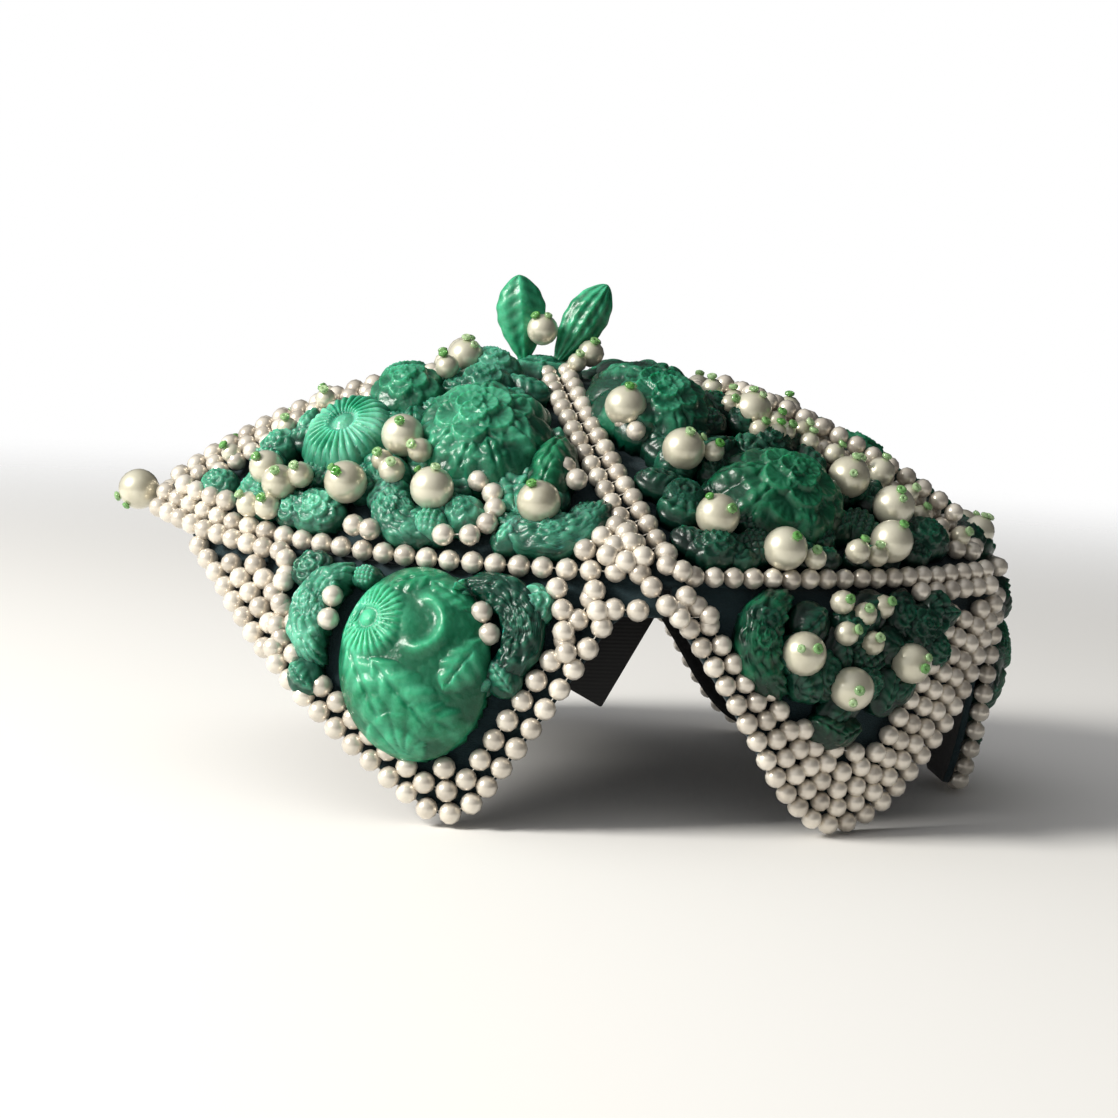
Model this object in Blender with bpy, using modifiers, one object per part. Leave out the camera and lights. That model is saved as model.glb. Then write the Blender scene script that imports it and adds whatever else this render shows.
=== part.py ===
"""A beaded cocktail hat at its real size, standing on the tips of its five petals.

The crown is a low five-sided dome of felt-covered buckram. A pointed petal of the same cloth hangs from the
fold at each of its sides. Rows of small pearls cover the ridges, the folds and the petals' edges, and carved
green stones with larger pearls fill the fields between them. +Z is up, -Y is the front, +X is the wearer's
left. The right half mirrors the left, except that the two leaves at the top lean apart.

All the sizes are in millimetres. The surface that they describe runs through the middle of the small pearls,
and everything else is set a lift above or below it.
"""

import math
from dataclasses import dataclass

import bmesh
import bpy
import numpy as np
from mathutils import Matrix, Vector

MM = 0.001

# Where the surface runs
APEX = np.array([0.0, -6.37, 94.6])
FRONT_CORNER = np.array([0.0, -96.37, 62.1])
SIDE_CORNER = np.array([66.0, 15.63, 55.1])
BACK_CORNER = np.array([23.0, 95.63, 55.6])
HEM_Z = 2.1
HEM_HALF_WIDTH = 66.0
HEM_HALF_LENGTH = 95.0
HEM_CENTRE_Y = -0.37
HEM_SQUARENESS = 2.3
DOME_POWER_SIDE = 1.35
DOME_POWER_END = 2.2
RIDGE_SWAY = 4.0
INSIDE = np.array([0.0, 0.0, 30.0])
NO_CAP = 900.0
CAP_ROUNDING = 24.0

# Cloth, pearls and clearances
CLOTH = 2.0
CLOTH_LIFT = -2.3
SMALL_PEARL = 4.0
LARGE_PEARL = 10.0
GAP = 0.3
BORDER_TOP = 3.2
BORDER_OVERHANG = 2.0
BORDER_DEPTH = 3.4
BORDER_LIFT = 0.2
BORDER_CORNER = 8.0
CLOTH_OVERHANG = 1.2
PAD = 1.2
PAD_LIFT = -1.8
FLOWER_FOOT = -1.2
FLOWER_FLATNESS = 0.6
STONE_LIFT = -0.3
STONE_RIM = 1.0
RIDGE_START = 0.13
BACK_RIDGE_START = 0.20
RIDGE_END = 0.932
RIDGE_STEPS = 8
RIDGE_SIDES = 8
FIELD_START = 0.26
FIELD_END = 0.947
FIELD_NARROWEST = 5.0
PAD_MARGIN = 0.9
BEAD_SIDES = 10
STONE_SIDES = 12
LAID_ON_BORDER = ("petal_oval_stone",)
STONE_ROOM = 0.5
CROWN_END = 0.992
ROUND = 1e-3


@dataclass(frozen=True)
class Petal:
    """The edge of a petal, as its drop below the fold against the distance along it, in millimetres."""

    start_a: float
    slope_a: float
    curve_a: float
    start_b: float
    slope_b: float
    flat_b: float
    rounding: float
    cap: float
    border_at: tuple
    border_a: tuple
    border_b: float
    border_tip: float


@dataclass(frozen=True)
class Side:
    """One side of the hat: a crown panel between two ridges, and the petal that hangs from its fold."""

    start: np.ndarray
    end: np.ndarray
    bow: tuple
    dip: tuple
    clear: tuple
    seam: tuple
    row_clear: tuple
    cloth_top: float
    belly: float
    bunching: float
    columns: int
    petal: Petal


SIDES = {
    "front": Side(
        FRONT_CORNER,
        SIDE_CORNER,
        bow=(20.0, 14.0),
        dip=(8.0, 3.0),
        clear=(8.5, 6.0),
        seam=(3.4, 1.5),
        row_clear=(2.5, 3.2),
        cloth_top=1.95,
        belly=5.0,
        bunching=0.0,
        columns=9,
        petal=Petal(
            start_a=1.5, slope_a=0.12, curve_a=0.0045, start_b=7.6, slope_b=1.65, flat_b=11.1, rounding=16.0, cap=NO_CAP,
            border_at=(0.0, 30.0, 44.0, 62.0, 74.0), border_a=(20.0, 20.0, 12.0, 11.4, 6.8), border_b=6.8,
            border_tip=10.8,
        ),
    ),
    "side": Side(
        SIDE_CORNER,
        BACK_CORNER,
        bow=(9.0, 9.0),
        dip=(1.0, 1.0),
        clear=(6.5, 8.0),
        seam=(1.5, 1.6),
        row_clear=(3.2, 3.2),
        cloth_top=2.1,
        belly=5.0,
        bunching=0.0,
        columns=7,
        petal=Petal(
            start_a=5.0, slope_a=1.72, curve_a=0.0, start_b=3.5, slope_b=1.12, flat_b=0.0, rounding=44.0, cap=NO_CAP,
            border_at=(0.0, 10.0, 18.0, 29.0), border_a=(6.8, 6.8, 8.0, 11.5), border_b=11.4, border_tip=15.4,
        ),
    ),
    "back": Side(
        BACK_CORNER,
        BACK_CORNER * np.array([-1.0, 1.0, 1.0]),
        bow=(5.0, 5.0),
        dip=(1.5, 1.5),
        clear=(7.5, 7.5),
        seam=(1.6, 1.6),
        row_clear=(3.2, 3.2),
        cloth_top=3.05,
        belly=1.5,
        bunching=1.0,
        columns=4,
        petal=Petal(
            start_a=5.0, slope_a=4.6, curve_a=0.0, start_b=5.0, slope_b=4.6, flat_b=0.0, rounding=30.0, cap=53.5,
            border_at=(0.0, 1.0), border_a=(6.8, 6.8), border_b=6.8, border_tip=11.4,
        ),
    ),
}


@dataclass(frozen=True)
class Stone:
    """A carved stone that is a piece of its own: its place on a side, its size and its turn."""

    name: str
    side: str
    where: str
    along: float
    across: float
    width: float
    length: float
    height: float
    turn: float


STONES = (
    Stone("rose_stone", "front", "crown", 0.655, 0.575, 30.0, 27.0, 9.5, 0.0),
    Stone("round_stone", "front", "crown", 0.300, 0.700, 19.0, 19.0, 6.0, 0.0),
    Stone("top_stone", "front", "crown", 0.270, 0.470, 17.0, 15.0, 6.0, 0.0),
    Stone("bud_stone", "front", "crown", 0.865, 0.740, 12.0, 14.0, 5.5, 0.0),
    Stone("upper_oval_stone", "side", "crown", 0.480, 0.420, 21.0, 18.0, 7.5, 0.0),
    Stone("lower_oval_stone", "side", "crown", 0.450, 0.780, 30.0, 22.0, 8.5, 0.0),
    Stone("petal_oval_stone", "front", "petal", 85.5, 21.3, 31.0, 36.0, 8.0, 8.0),
    Stone("petal_flower_stone", "side", "petal", 21.5, 9.5, 11.0, 11.0, 4.5, 0.0),
    Stone("petal_leaf_stone", "side", "petal", 42.2, 29.5, 12.0, 7.0, 4.5, 0.0),
)
BACK_STONES = (
    Stone("back_oval_stone", "back", "crown", 0.500, 0.720, 21.0, 22.0, 7.5, 0.0),
    Stone("back_petal_stone", "back", "petal", 23.45, 24.0, 17.0, 25.0, 6.0, 0.0),
)


@dataclass(frozen=True)
class Lump:
    """A small flower or a large pearl in a field: its place, its diameter, and the lift of a pearl's middle."""

    along: float
    across: float
    size: float
    lift: float
    is_pearl: bool


def flower(along, across, size):
    """A low carved flower, whose middle lies at the surface."""
    return Lump(along, across, size, 0.0, False)


def pearl(along, across, lift=3.6):
    """A large pearl, sewn on over the flowers."""
    return Lump(along, across, LARGE_PEARL, lift, True)


FIELDS = {
    ("front", "crown"): (
        flower(0.131, 0.915, 9.0),
        flower(0.535, 0.890, 11.0),
        flower(0.895, 0.900, 8.0),
        pearl(0.235, 0.900),
        pearl(0.430, 0.880),
        pearl(0.470, 0.740),
        pearl(0.640, 0.870),
        pearl(0.780, 0.880),
    ),
    ("side", "crown"): (
        flower(0.200, 0.810, 9.0),
        flower(0.850, 0.880, 9.0),
        pearl(0.165, 0.520),
        pearl(0.200, 0.670),
        pearl(0.180, 0.920),
        pearl(0.720, 0.730),
        pearl(0.735, 0.890),
    ),
    ("back", "crown"): (
        flower(0.500, 0.920, 8.0),
        pearl(0.270, 0.930),
        pearl(0.730, 0.930),
    ),
    ("front", "petal"): (
        flower(65.0, 9.5, 8.5),
        flower(107.5, 9.5, 9.5),
    ),
    ("side", "petal"): (
        flower(38.0, 9.0, 9.0),
        flower(54.0, 9.0, 9.0),
        pearl(29.8, 17.5),
        pearl(39.5, 20.5),
        pearl(50.5, 17.5),
    ),
    ("back", "petal"): (
        flower(15.5, 9.0, 7.0),
        flower(31.4, 9.0, 7.0),
    ),
}

# Top of the crown
ROSETTE_RADIUS = 8.0
ROSETTE_HEIGHT = 4.0
ROSETTE_FOOT = APEX[2] + CLOTH_LIFT + GAP
LEAF_WIDTH = 12.5
LEAF_LENGTH = 20.0
LEAF_DEPTH = 4.0
LEAF_LEAN = 22.0
LEAF_SPREAD = 4.2
TOP_PEARL = 6.0
TIP_PEARL_OUT = 4.0

# The black ribbon tab behind each side notch
TAB = (1.6, 11.0, 27.0)
TAB_PLACE = (57.95, 5.33, 39.0)
TAB_TILT = 28.0
TAB_TURN = 8.0

COLOURS = {
    "cloth": ((0.010, 0.030, 0.036), 0.9, 0.0),
    "pearl": ((0.78, 0.74, 0.66), 0.25, 0.0),
    "stone": ((0.020, 0.330, 0.170), 0.2, 0.0),
    "ribbon": ((0.006, 0.006, 0.007), 0.5, 0.0),
}


def fold(side, share):
    """Points of the fold at these shares of its length, from the side's start corner to its end corner."""
    chord = side.end - side.start
    out = np.array([chord[1], -chord[0], 0.0]) / math.hypot(chord[0], chord[1])
    out *= np.sign(out @ (side.start + side.end))
    down = np.array([0.0, 0.0, -1.0])
    near_start = side.start + chord / 3 + out * side.bow[0] + down * side.dip[0]
    near_end = side.start + chord * 2 / 3 + out * side.bow[1] + down * side.dip[1]
    share = np.asarray(share, float)[..., None]
    rest = 1 - share
    return (
        side.start * rest**3
        + 3 * near_start * share * rest**2
        + 3 * near_end * share**2 * rest
        + side.end * share**3
    )


def fold_length(side):
    """Length of the fold along its curve."""
    return np.linalg.norm(np.diff(fold(side, np.linspace(0, 1, 60)), axis=0), axis=1).sum()


def crown(side, share, reach):
    """Points of the crown: share along the side's fold, reach from the apex (0) to the fold (1)."""
    edge = fold(side, share)
    reach = np.asarray(reach, float) + 0 * edge[..., 0]
    heading = np.arctan2(edge[..., 1], edge[..., 0])
    power = DOME_POWER_SIDE + (DOME_POWER_END - DOME_POWER_SIDE) * np.sin(heading) ** 2
    x = APEX[0] + reach * (edge[..., 0] - APEX[0])
    y = APEX[1] + reach * (edge[..., 1] - APEX[1])
    y = y - RIDGE_SWAY * 4 * reach * (1 - reach) * np.abs(np.cos(heading))
    z = APEX[2] - (APEX[2] - edge[..., 2]) * np.maximum(reach, 0) ** power
    return np.stack([x, y, z], -1)


def wall(side, share, drop):
    """Points of the wall that the petal is cut from: share along the fold, drop below it."""
    top = fold(side, share)
    depth = (np.asarray(drop, float) / (top[..., 2] - HEM_Z))[..., None]
    heading = np.arctan2(top[..., 1] - HEM_CENTRE_Y, top[..., 0])
    cos, sin = np.cos(heading), np.sin(heading)
    reach = (
        np.abs(cos / HEM_HALF_WIDTH) ** HEM_SQUARENESS
        + np.abs(sin / HEM_HALF_LENGTH) ** HEM_SQUARENESS
    ) ** (-1 / HEM_SQUARENESS)
    hem = np.stack([reach * cos, HEM_CENTRE_Y + reach * sin, HEM_Z + 0 * reach], -1)
    out = np.stack([cos, sin, 0 * cos], -1)
    return top * (1 - depth) + hem * depth + out * side.belly * 4 * depth * (1 - depth)


def lifted(surface, side, share, other, lift):
    """Points at a lift outside a surface, with the outward normals there."""
    step = 1e-3
    here = surface(side, share, other)
    across = surface(side, share + step, other) - here
    down = surface(side, share, other + step) - here
    normal = np.cross(across, down)
    normal /= np.linalg.norm(normal, axis=-1, keepdims=True)
    outward = np.sign(((here - INSIDE) * normal).sum(-1, keepdims=True))
    normal = normal * outward
    return here + normal * np.asarray(lift)[..., None], normal


def round_min(first, second, rounding):
    """The lesser of two values, with the corner between them rounded off."""
    overlap = np.maximum(rounding - np.abs(first - second), 0) / rounding
    return np.minimum(first, second) - overlap**2 * rounding / 4


def plain_edge(side, share, inset_a, inset_b):
    """Drop of a line that lies inside the petal's edge by one inset on its start side and one on its end side."""
    petal, length = side.petal, fold_length(side)
    run = np.asarray(share, float) * length
    slope_a = petal.slope_a + 2 * petal.curve_a * run
    left = petal.start_a + petal.slope_a * run + petal.curve_a * run**2
    beyond = np.maximum(length - run - petal.flat_b, 0)
    right = petal.start_b + petal.slope_b * beyond
    left = left - inset_a * np.hypot(1, slope_a)
    right = right - inset_b * np.hypot(1, petal.slope_b * (beyond > 0))
    pointed = round_min(left, right, petal.rounding)
    return round_min(pointed, petal.cap - inset_a + 0 * pointed, CAP_ROUNDING)


def hem_scale(side):
    """Share by which the plain edge is stretched, so that the petal's lowest pearl stands on the surface."""
    shares = np.linspace(0, 1, 400)
    height = fold(side, shares)[:, 2] - HEM_Z
    return 1 / (plain_edge(side, shares, 0, 0) / height).max()


def edge(side, share, inset_a=0.0, inset_b=None):
    """Drop of the petal's edge, or of a line inside it."""
    inset_b = inset_a if inset_b is None else inset_b
    return plain_edge(side, share, inset_a, inset_b) * hem_scale(side)


def border_inside(side, share, margin=0.0):
    """Drop of the inner edge of the pearl border, or of a line a margin further in."""
    petal = side.petal
    inset = np.interp(share * fold_length(side), petal.border_at, petal.border_a)
    inner = edge(side, share, inset + margin, petal.border_b + margin)
    lowest = edge(side, np.linspace(0, 1, 200)).max() - petal.border_tip - margin
    return round_min(inner, lowest + 0 * inner, BORDER_CORNER)


def spread(surface, side, along, other, offsets, turn):
    """Surface coordinates of points given by their offsets in the plane that touches the surface at a place."""
    along, other = np.array([along]), np.array([other])
    centre, normal = lifted(surface, side, along, other, np.zeros(1))
    centre, normal = centre[0], normal[0]
    level = np.cross([0.0, 0.0, 1.0], normal)
    level /= np.linalg.norm(level)
    upward = np.cross(normal, level)
    cos, sin = math.cos(math.radians(turn)), math.sin(math.radians(turn))
    right = level * cos + upward * sin
    up = upward * cos - level * sin
    u = np.full(len(offsets), along[0])
    v = np.full(len(offsets), other[0])
    step = 1e-4
    for _ in range(8):
        here = surface(side, u, v)
        miss = np.stack([(here - centre) @ right, (here - centre) @ up], -1) - offsets
        by_u = (surface(side, u + step, v) - here) / step
        by_v = (surface(side, u, v + step) - here) / step
        a, b, c, d = by_u @ right, by_v @ right, by_u @ up, by_v @ up
        span = a * d - b * c
        u = u - (d * miss[:, 0] - b * miss[:, 1]) / span
        v = v - (a * miss[:, 1] - c * miss[:, 0]) / span
    return u, v, normal


def material(name):
    """The material of this name, made once."""
    if name in bpy.data.materials:
        return bpy.data.materials[name]
    colour, roughness, metallic = COLOURS[name]
    made = bpy.data.materials.new(name)
    made.use_nodes = True
    shader = made.node_tree.nodes["Principled BSDF"]
    shader.inputs["Base Color"].default_value = (*colour, 1.0)
    shader.inputs["Roughness"].default_value = roughness
    shader.inputs["Metallic"].default_value = metallic
    return made


def collection(name):
    """The collection of this name, made once."""
    if name not in bpy.data.collections:
        bpy.context.scene.collection.children.link(bpy.data.collections.new(name))
    return bpy.data.collections[name]


def add_object(name, mesh, finish, group="cocktail_hat"):
    """Adds an object with its finish to a collection."""
    made = bpy.data.objects.new(name, mesh)
    mesh.materials.append(material(finish))
    collection(group).objects.link(made)
    return made


def as_mesh(bm, name):
    """A mesh from a bmesh whose points are in millimetres, with its faces outward where it is closed."""
    if bm.calc_volume(signed=True) < 0 and all(edge_.is_manifold for edge_ in bm.edges):
        bmesh.ops.reverse_faces(bm, faces=bm.faces)
    bmesh.ops.scale(bm, vec=Vector((MM, MM, MM)), verts=bm.verts)
    mesh = bpy.data.meshes.new(name)
    bm.to_mesh(mesh)
    bm.free()
    return mesh


def add_cutter(name, bm):
    """Adds a helper body that only shapes another piece."""
    made = add_object(name, as_mesh(bm, name), "stone", "cutters")
    made.hide_render = True
    made.display_type = "WIRE"
    return made


def mirrored(points, hand):
    """Points of the left half, taken over to the right half where hand is -1."""
    return points * np.array([hand, 1.0, 1.0])


def sheet(name, columns, rows, place, thickness, outward, finish, group="cocktail_hat"):
    """A grid of faces whose corners place(u, v) sets, given a thickness inwards or outwards."""
    bm = bmesh.new()
    bmesh.ops.create_grid(bm, x_segments=columns, y_segments=rows, size=0.5)
    u = np.array([vert.co.x + 0.5 for vert in bm.verts])
    v = np.array([vert.co.y + 0.5 for vert in bm.verts])
    for vert, point in zip(bm.verts, place(u, v)):
        vert.co = point
    bmesh.ops.remove_doubles(bm, verts=bm.verts, dist=0.05)
    bm.normal_update()
    bm.faces.ensure_lookup_table()
    tallies = [face.normal.dot(face.calc_center_median() - Vector(INSIDE)) for face in bm.faces]
    if sum(tallies) < 0:
        bmesh.ops.reverse_faces(bm, faces=bm.faces)
    made = add_object(name, as_mesh(bm, name), finish, group)
    solid = made.modifiers.new("thickness", "SOLIDIFY")
    solid.thickness = thickness * MM
    solid.offset = outward
    solid.use_even_offset = True
    return made


def crown_stations():
    """The columns of the crown all round: the sides, shares and hands whose points meet there, two at a ridge."""
    around = [("front", 1), ("side", 1), ("back", 1), ("side", -1), ("front", -1)]
    stations = []
    for name, hand in around:
        side = SIDES[name]
        shares = np.linspace(0, 1, side.columns + 1)[::hand]
        runs = [[(side, share, hand)] for share in shares]
        if stations:
            stations[-1] += runs.pop(0)
        stations += runs
    stations[0] += stations[-1]
    stations[-1] = stations[0]
    return stations


def add_crown():
    """The domed crown, in one piece over all five sides."""
    stations = crown_stations()
    last = len(stations) - 1

    def place(u, v):
        top = APEX + np.array([0.0, 0.0, CLOTH_LIFT])
        points = []
        for across, out in zip(u, v):
            reach = np.array([max(out * CROWN_END, ROUND)])
            line, _ = meeting_line(stations[round(across * last)], reach, CLOTH_LIFT)
            points.append(line[0] if out > ROUND else top)
        return points

    return sheet("crown", last, 6, place, CLOTH, -1.0, "cloth")


def seam_shares(side):
    """Shares of the fold where the petal's cloth starts and ends, short of the corners."""
    length = fold_length(side)
    return side.seam[0] / length, 1 - side.seam[1] / length


def petal_place(side, hand, top, bottom, lift, low, high):
    """The place function of a piece of a petal between two lines of drop."""

    def place(u, v):
        bunched = (1 - np.cos(np.pi * u)) / 2
        share = low + (high - low) * (u + (bunched - u) * side.bunching)
        above, below = top(share), bottom(share)
        drop = above + (below - above) * v
        points, _ = lifted(wall, side, share, drop, lift + 0 * share)
        return mirrored(points, hand)

    return place


def add_petal(label, side, hand):
    """A cloth petal, from just under the fold down to its pointed edge."""

    def top(share):
        return side.cloth_top + 0 * share

    def bottom(share):
        lowest = fold(side, share)[..., 2] - HEM_Z + CLOTH_OVERHANG
        return np.clip(edge(side, share, -CLOTH_OVERHANG), side.cloth_top + 0.8, lowest)

    place = petal_place(side, hand, top, bottom, CLOTH_LIFT, *seam_shares(side))
    return sheet(f"petal_{label}", side.columns + 3, 4, place, CLOTH, -1.0, "cloth")


def floor_cutter():
    """The block under the hat that trims its lowest points flat."""
    if "floor_cutter" in bpy.data.objects:
        return bpy.data.objects["floor_cutter"]
    bm = bmesh.new()
    bmesh.ops.create_cube(bm, size=1.0)
    bmesh.ops.scale(bm, vec=Vector((300.0, 300.0, 20.0)), verts=bm.verts)
    bmesh.ops.translate(bm, vec=Vector((0.0, 0.0, -10.0)), verts=bm.verts)
    return add_cutter("floor_cutter", bm)


def border_span(side):
    """The shares of the fold between which the border has some width."""
    shares = np.linspace(0, 1, 400)
    deep = shares[edge(side, shares, -BORDER_OVERHANG) > BORDER_TOP + 1.6]
    low, high = seam_shares(side)
    return max(deep[0], low), min(deep[-1], high)


def add_border(label, side, hand):
    """The band of small pearls along a petal's edge."""
    low, high = border_span(side)

    def top(share):
        return np.maximum(border_inside(side, share), BORDER_TOP)

    def bottom(share):
        return edge(side, share, -BORDER_OVERHANG)

    place = petal_place(side, hand, top, bottom, BORDER_LIFT, low, high)
    rows = 4 if side.bunching else 2
    band = sheet(f"pearl_border_{label}", 2 * side.columns, rows, place, BORDER_DEPTH, 0.0, "pearl")
    cutters = [floor_cutter()]
    for stone in STONES:
        if stone.name in LAID_ON_BORDER and SIDES[stone.side] is side:
            body = stone_body(stone, hand, STONE_ROOM, BORDER_DEPTH)
            cutters.append(add_cutter(f"room_for_{stone.name}_{label}", body))
    for cutter in cutters:
        trim = band.modifiers.new("trim", "BOOLEAN")
        trim.operation = "DIFFERENCE"
        trim.object = cutter
    return band


def tube(name, points, radius, finish):
    """A round string through these points."""
    curve = bpy.data.curves.new(name, "CURVE")
    curve.dimensions = "3D"
    curve.bevel_depth = radius * MM
    curve.bevel_resolution = 2
    curve.use_fill_caps = True
    spline = curve.splines.new("POLY")
    spline.points.add(len(points) - 1)
    for node, point in zip(spline.points, points):
        node.co = (*(point * MM), 1.0)
    return add_object(name, curve, finish)


def add_fold_row(label, side, hand):
    """The row of small pearls along a fold."""
    length = fold_length(side)
    shares = np.linspace(side.row_clear[0] / length, 1 - side.row_clear[1] / length, side.columns + 1)
    return tube(f"fold_pearls_{label}", mirrored(fold(side, shares), hand), SMALL_PEARL / 2, "pearl")


def meeting_line(meeting, reach, lift):
    """Points at a lift outside a ridge, mitred between the sides that meet there, with the ridge's own normals."""
    points, normals = [], []
    for side, share, hand in meeting:
        point, normal = lifted(crown, side, np.full(len(reach), share), reach, np.zeros(len(reach)))
        points.append(mirrored(point, hand))
        normals.append(mirrored(normal, hand))
    normal = np.mean(normals, axis=0)
    normal /= np.linalg.norm(normal, axis=1, keepdims=True)
    mitre = 1 / np.sum(normal * normals[0], axis=1, keepdims=True)
    return np.mean(points, axis=0) + normal * mitre * lift, normal


def add_ridge(label, meeting, first):
    """The double row of small pearls on a ridge, as one flat bundle, from a first reach to near the corner."""
    reach = np.linspace(first, RIDGE_END, RIDGE_STEPS + 1)
    centre, normal = meeting_line(meeting, reach, 0.0)
    across = np.cross(np.gradient(centre, axis=0), normal)
    across /= np.linalg.norm(across, axis=1, keepdims=True)
    bm = bmesh.new()
    bmesh.ops.create_cone(bm, cap_ends=True, segments=RIDGE_SIDES, radius1=1, radius2=1, depth=1.0)
    lengthwise = [edge_ for edge_ in bm.edges if abs(edge_.verts[0].co.z - edge_.verts[1].co.z) > 0.5]
    bmesh.ops.subdivide_edges(bm, edges=lengthwise, cuts=RIDGE_STEPS - 1)
    for vert in bm.verts:
        station = round((vert.co.z + 0.5) * RIDGE_STEPS)
        wide = across[station] * vert.co.x * SMALL_PEARL
        high = normal[station] * vert.co.y * SMALL_PEARL / 2
        vert.co = centre[station] + wide + high
    return add_object(f"ridge_pearls_{label}", as_mesh(bm, label), "pearl")


def ball(bm, centre, diameter, rings=4):
    """Adds a round bead."""
    place = Matrix.Translation(Vector(centre)) @ Matrix.Scale(diameter / 2, 4)
    bmesh.ops.create_uvsphere(bm, u_segments=BEAD_SIDES, v_segments=rings, radius=1.0, matrix=place)


def surface_of(where):
    """The surface function of the crown or of the petals."""
    return crown if where == "crown" else wall


def share_of(side, where, along):
    """Share of the fold, from a share on the crown or from a distance along a petal's fold."""
    return along if where == "crown" else along / fold_length(side)


def add_field(label, side_name, where, hand):
    """A field of small carved flowers and large pearls, fused to the pad that they are sewn on."""
    side = SIDES[side_name]
    surface = surface_of(where)
    length = fold_length(side)
    if where == "crown":
        start, end = side.clear
        innermost = max(FIELD_START, (start + end + FIELD_NARROWEST) / length)

        def place(u, v):
            reach = innermost + (FIELD_END - innermost) * v
            low, high = start / (length * reach), 1 - end / (length * reach)
            points, _ = lifted(crown, side, low + (high - low) * u, reach, PAD_LIFT + 0 * u)
            return mirrored(points, hand)

    else:
        shares = np.linspace(0, 1, 400)
        open_shares = shares[border_inside(side, shares, PAD_MARGIN) > BORDER_TOP + 2.5]

        def top(share):
            return BORDER_TOP + 0 * share

        def bottom(share):
            return border_inside(side, share, PAD_MARGIN)

        place = petal_place(side, hand, top, bottom, PAD_LIFT, open_shares[0], open_shares[-1])
    pad = sheet(f"stone_field_{label}", max(4, side.columns - 1), 4, place, PAD, 1.0, "stone")

    bm = bmesh.new()
    for lump in FIELDS[(side_name, where)]:
        share = share_of(side, where, lump.along)
        centre, normal = lifted(surface, side, np.array([share]), np.array([lump.across]), np.array([lump.lift]))
        if lump.is_pearl:
            ball(bm, mirrored(centre[0], hand), lump.size)
            continue
        turn = Vector(mirrored(normal[0], hand)).to_track_quat("Z", "Y").to_matrix().to_4x4()
        place = Matrix.Translation(Vector(mirrored(centre[0], hand))) @ turn
        dome = bmesh.ops.create_uvsphere(bm, u_segments=BEAD_SIDES, v_segments=4, radius=lump.size / 2)["verts"]
        for vert in dome:
            vert.co.z = max(vert.co.z * FLOWER_FLATNESS, FLOWER_FOOT)
        bmesh.ops.transform(bm, matrix=place, verts=dome)
    fuse = pad.modifiers.new("fuse", "BOOLEAN")
    fuse.operation = "UNION"
    fuse.object = add_cutter(f"lumps_{label}", bm)
    fuse.use_self = True
    return pad


def stone_body(stone, hand, growth=0.0, sunk=0.0):
    """A dome over an oval of the surface, grown all round and sunk where it is to cut another piece."""
    side = SIDES[stone.side]
    surface = surface_of(stone.where)
    bm = bmesh.new()
    bmesh.ops.create_uvsphere(bm, u_segments=STONE_SIDES, v_segments=5, radius=1.0)
    shape = np.array([vert.co[:] for vert in bm.verts])
    offsets = shape[:, :2] * (np.array([stone.width, stone.length]) / 2 + growth)
    share = share_of(side, stone.where, stone.along)
    u, v, normal = spread(surface, side, share, stone.across, offsets, stone.turn)
    base, _ = lifted(surface, side, u, v, STONE_LIFT + 0 * u)
    top = STONE_RIM + (stone.height + growth) * np.maximum(shape[:, 2], 0)
    rise = np.where(shape[:, 2] > 0, top, -sunk)
    points = mirrored(base + normal * rise[:, None], hand)
    for vert, point in zip(bm.verts, points):
        vert.co = point
    return bm


def add_stone(stone, label, hand):
    """A domed stone whose flat back follows the surface."""
    return add_object(label, as_mesh(stone_body(stone, hand), label), "stone")


def add_leaf(label, hand):
    """An upright carved leaf at the top of the crown."""
    bm = bmesh.new()
    bmesh.ops.create_uvsphere(bm, u_segments=BEAD_SIDES, v_segments=6, radius=1.0)
    for vert in bm.verts:
        taper = 1 - 0.25 * vert.co.z
        vert.co.x *= LEAF_DEPTH / 2
        vert.co.y *= LEAF_WIDTH / 2 * taper
        vert.co.z = (vert.co.z + 1) * LEAF_LENGTH / 2
    bmesh.ops.rotate(bm, matrix=Matrix.Rotation(math.radians(-hand * LEAF_LEAN), 3, "X"), verts=bm.verts)
    lowest = min(vert.co.z for vert in bm.verts)
    rise = ROSETTE_FOOT + ROSETTE_HEIGHT + GAP - lowest
    bmesh.ops.translate(bm, vec=Vector((0.0, APEX[1] + hand * LEAF_SPREAD, rise)), verts=bm.verts)
    return add_object(label, as_mesh(bm, label), "stone")


def add_rosette():
    """The small cluster at the top that the leaves are sewn to, with its pearls fused to it."""
    bm = bmesh.new()
    bmesh.ops.create_cone(
        bm, cap_ends=True, segments=STONE_SIDES, radius1=ROSETTE_RADIUS, radius2=ROSETTE_RADIUS * 0.7,
        depth=ROSETTE_HEIGHT,
        matrix=Matrix.Translation(Vector((APEX[0], APEX[1], ROSETTE_FOOT + ROSETTE_HEIGHT / 2))),
    )
    base = add_object("top_rosette", as_mesh(bm, "top_rosette"), "pearl")
    bm = bmesh.new()
    size = TOP_PEARL
    top = ROSETTE_FOOT + ROSETTE_HEIGHT
    ball(bm, (ROSETTE_RADIUS * 0.65, APEX[1] + 0.5, top + size * 0.2), size)
    ball(bm, (-ROSETTE_RADIUS * 0.65, APEX[1] + 0.5, top + size * 0.2), size)
    fuse = base.modifiers.new("fuse", "BOOLEAN")
    fuse.operation = "UNION"
    fuse.object = add_cutter("top_pearls", bm)
    return base


def add_front_pearl():
    """The large pearl that stands out of the front corner."""
    bm = bmesh.new()
    ball(bm, (FRONT_CORNER[0], FRONT_CORNER[1] - TIP_PEARL_OUT, FRONT_CORNER[2] - 1.0), LARGE_PEARL, 6)
    return add_object("front_pearl", as_mesh(bm, "front_pearl"), "pearl")


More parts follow.
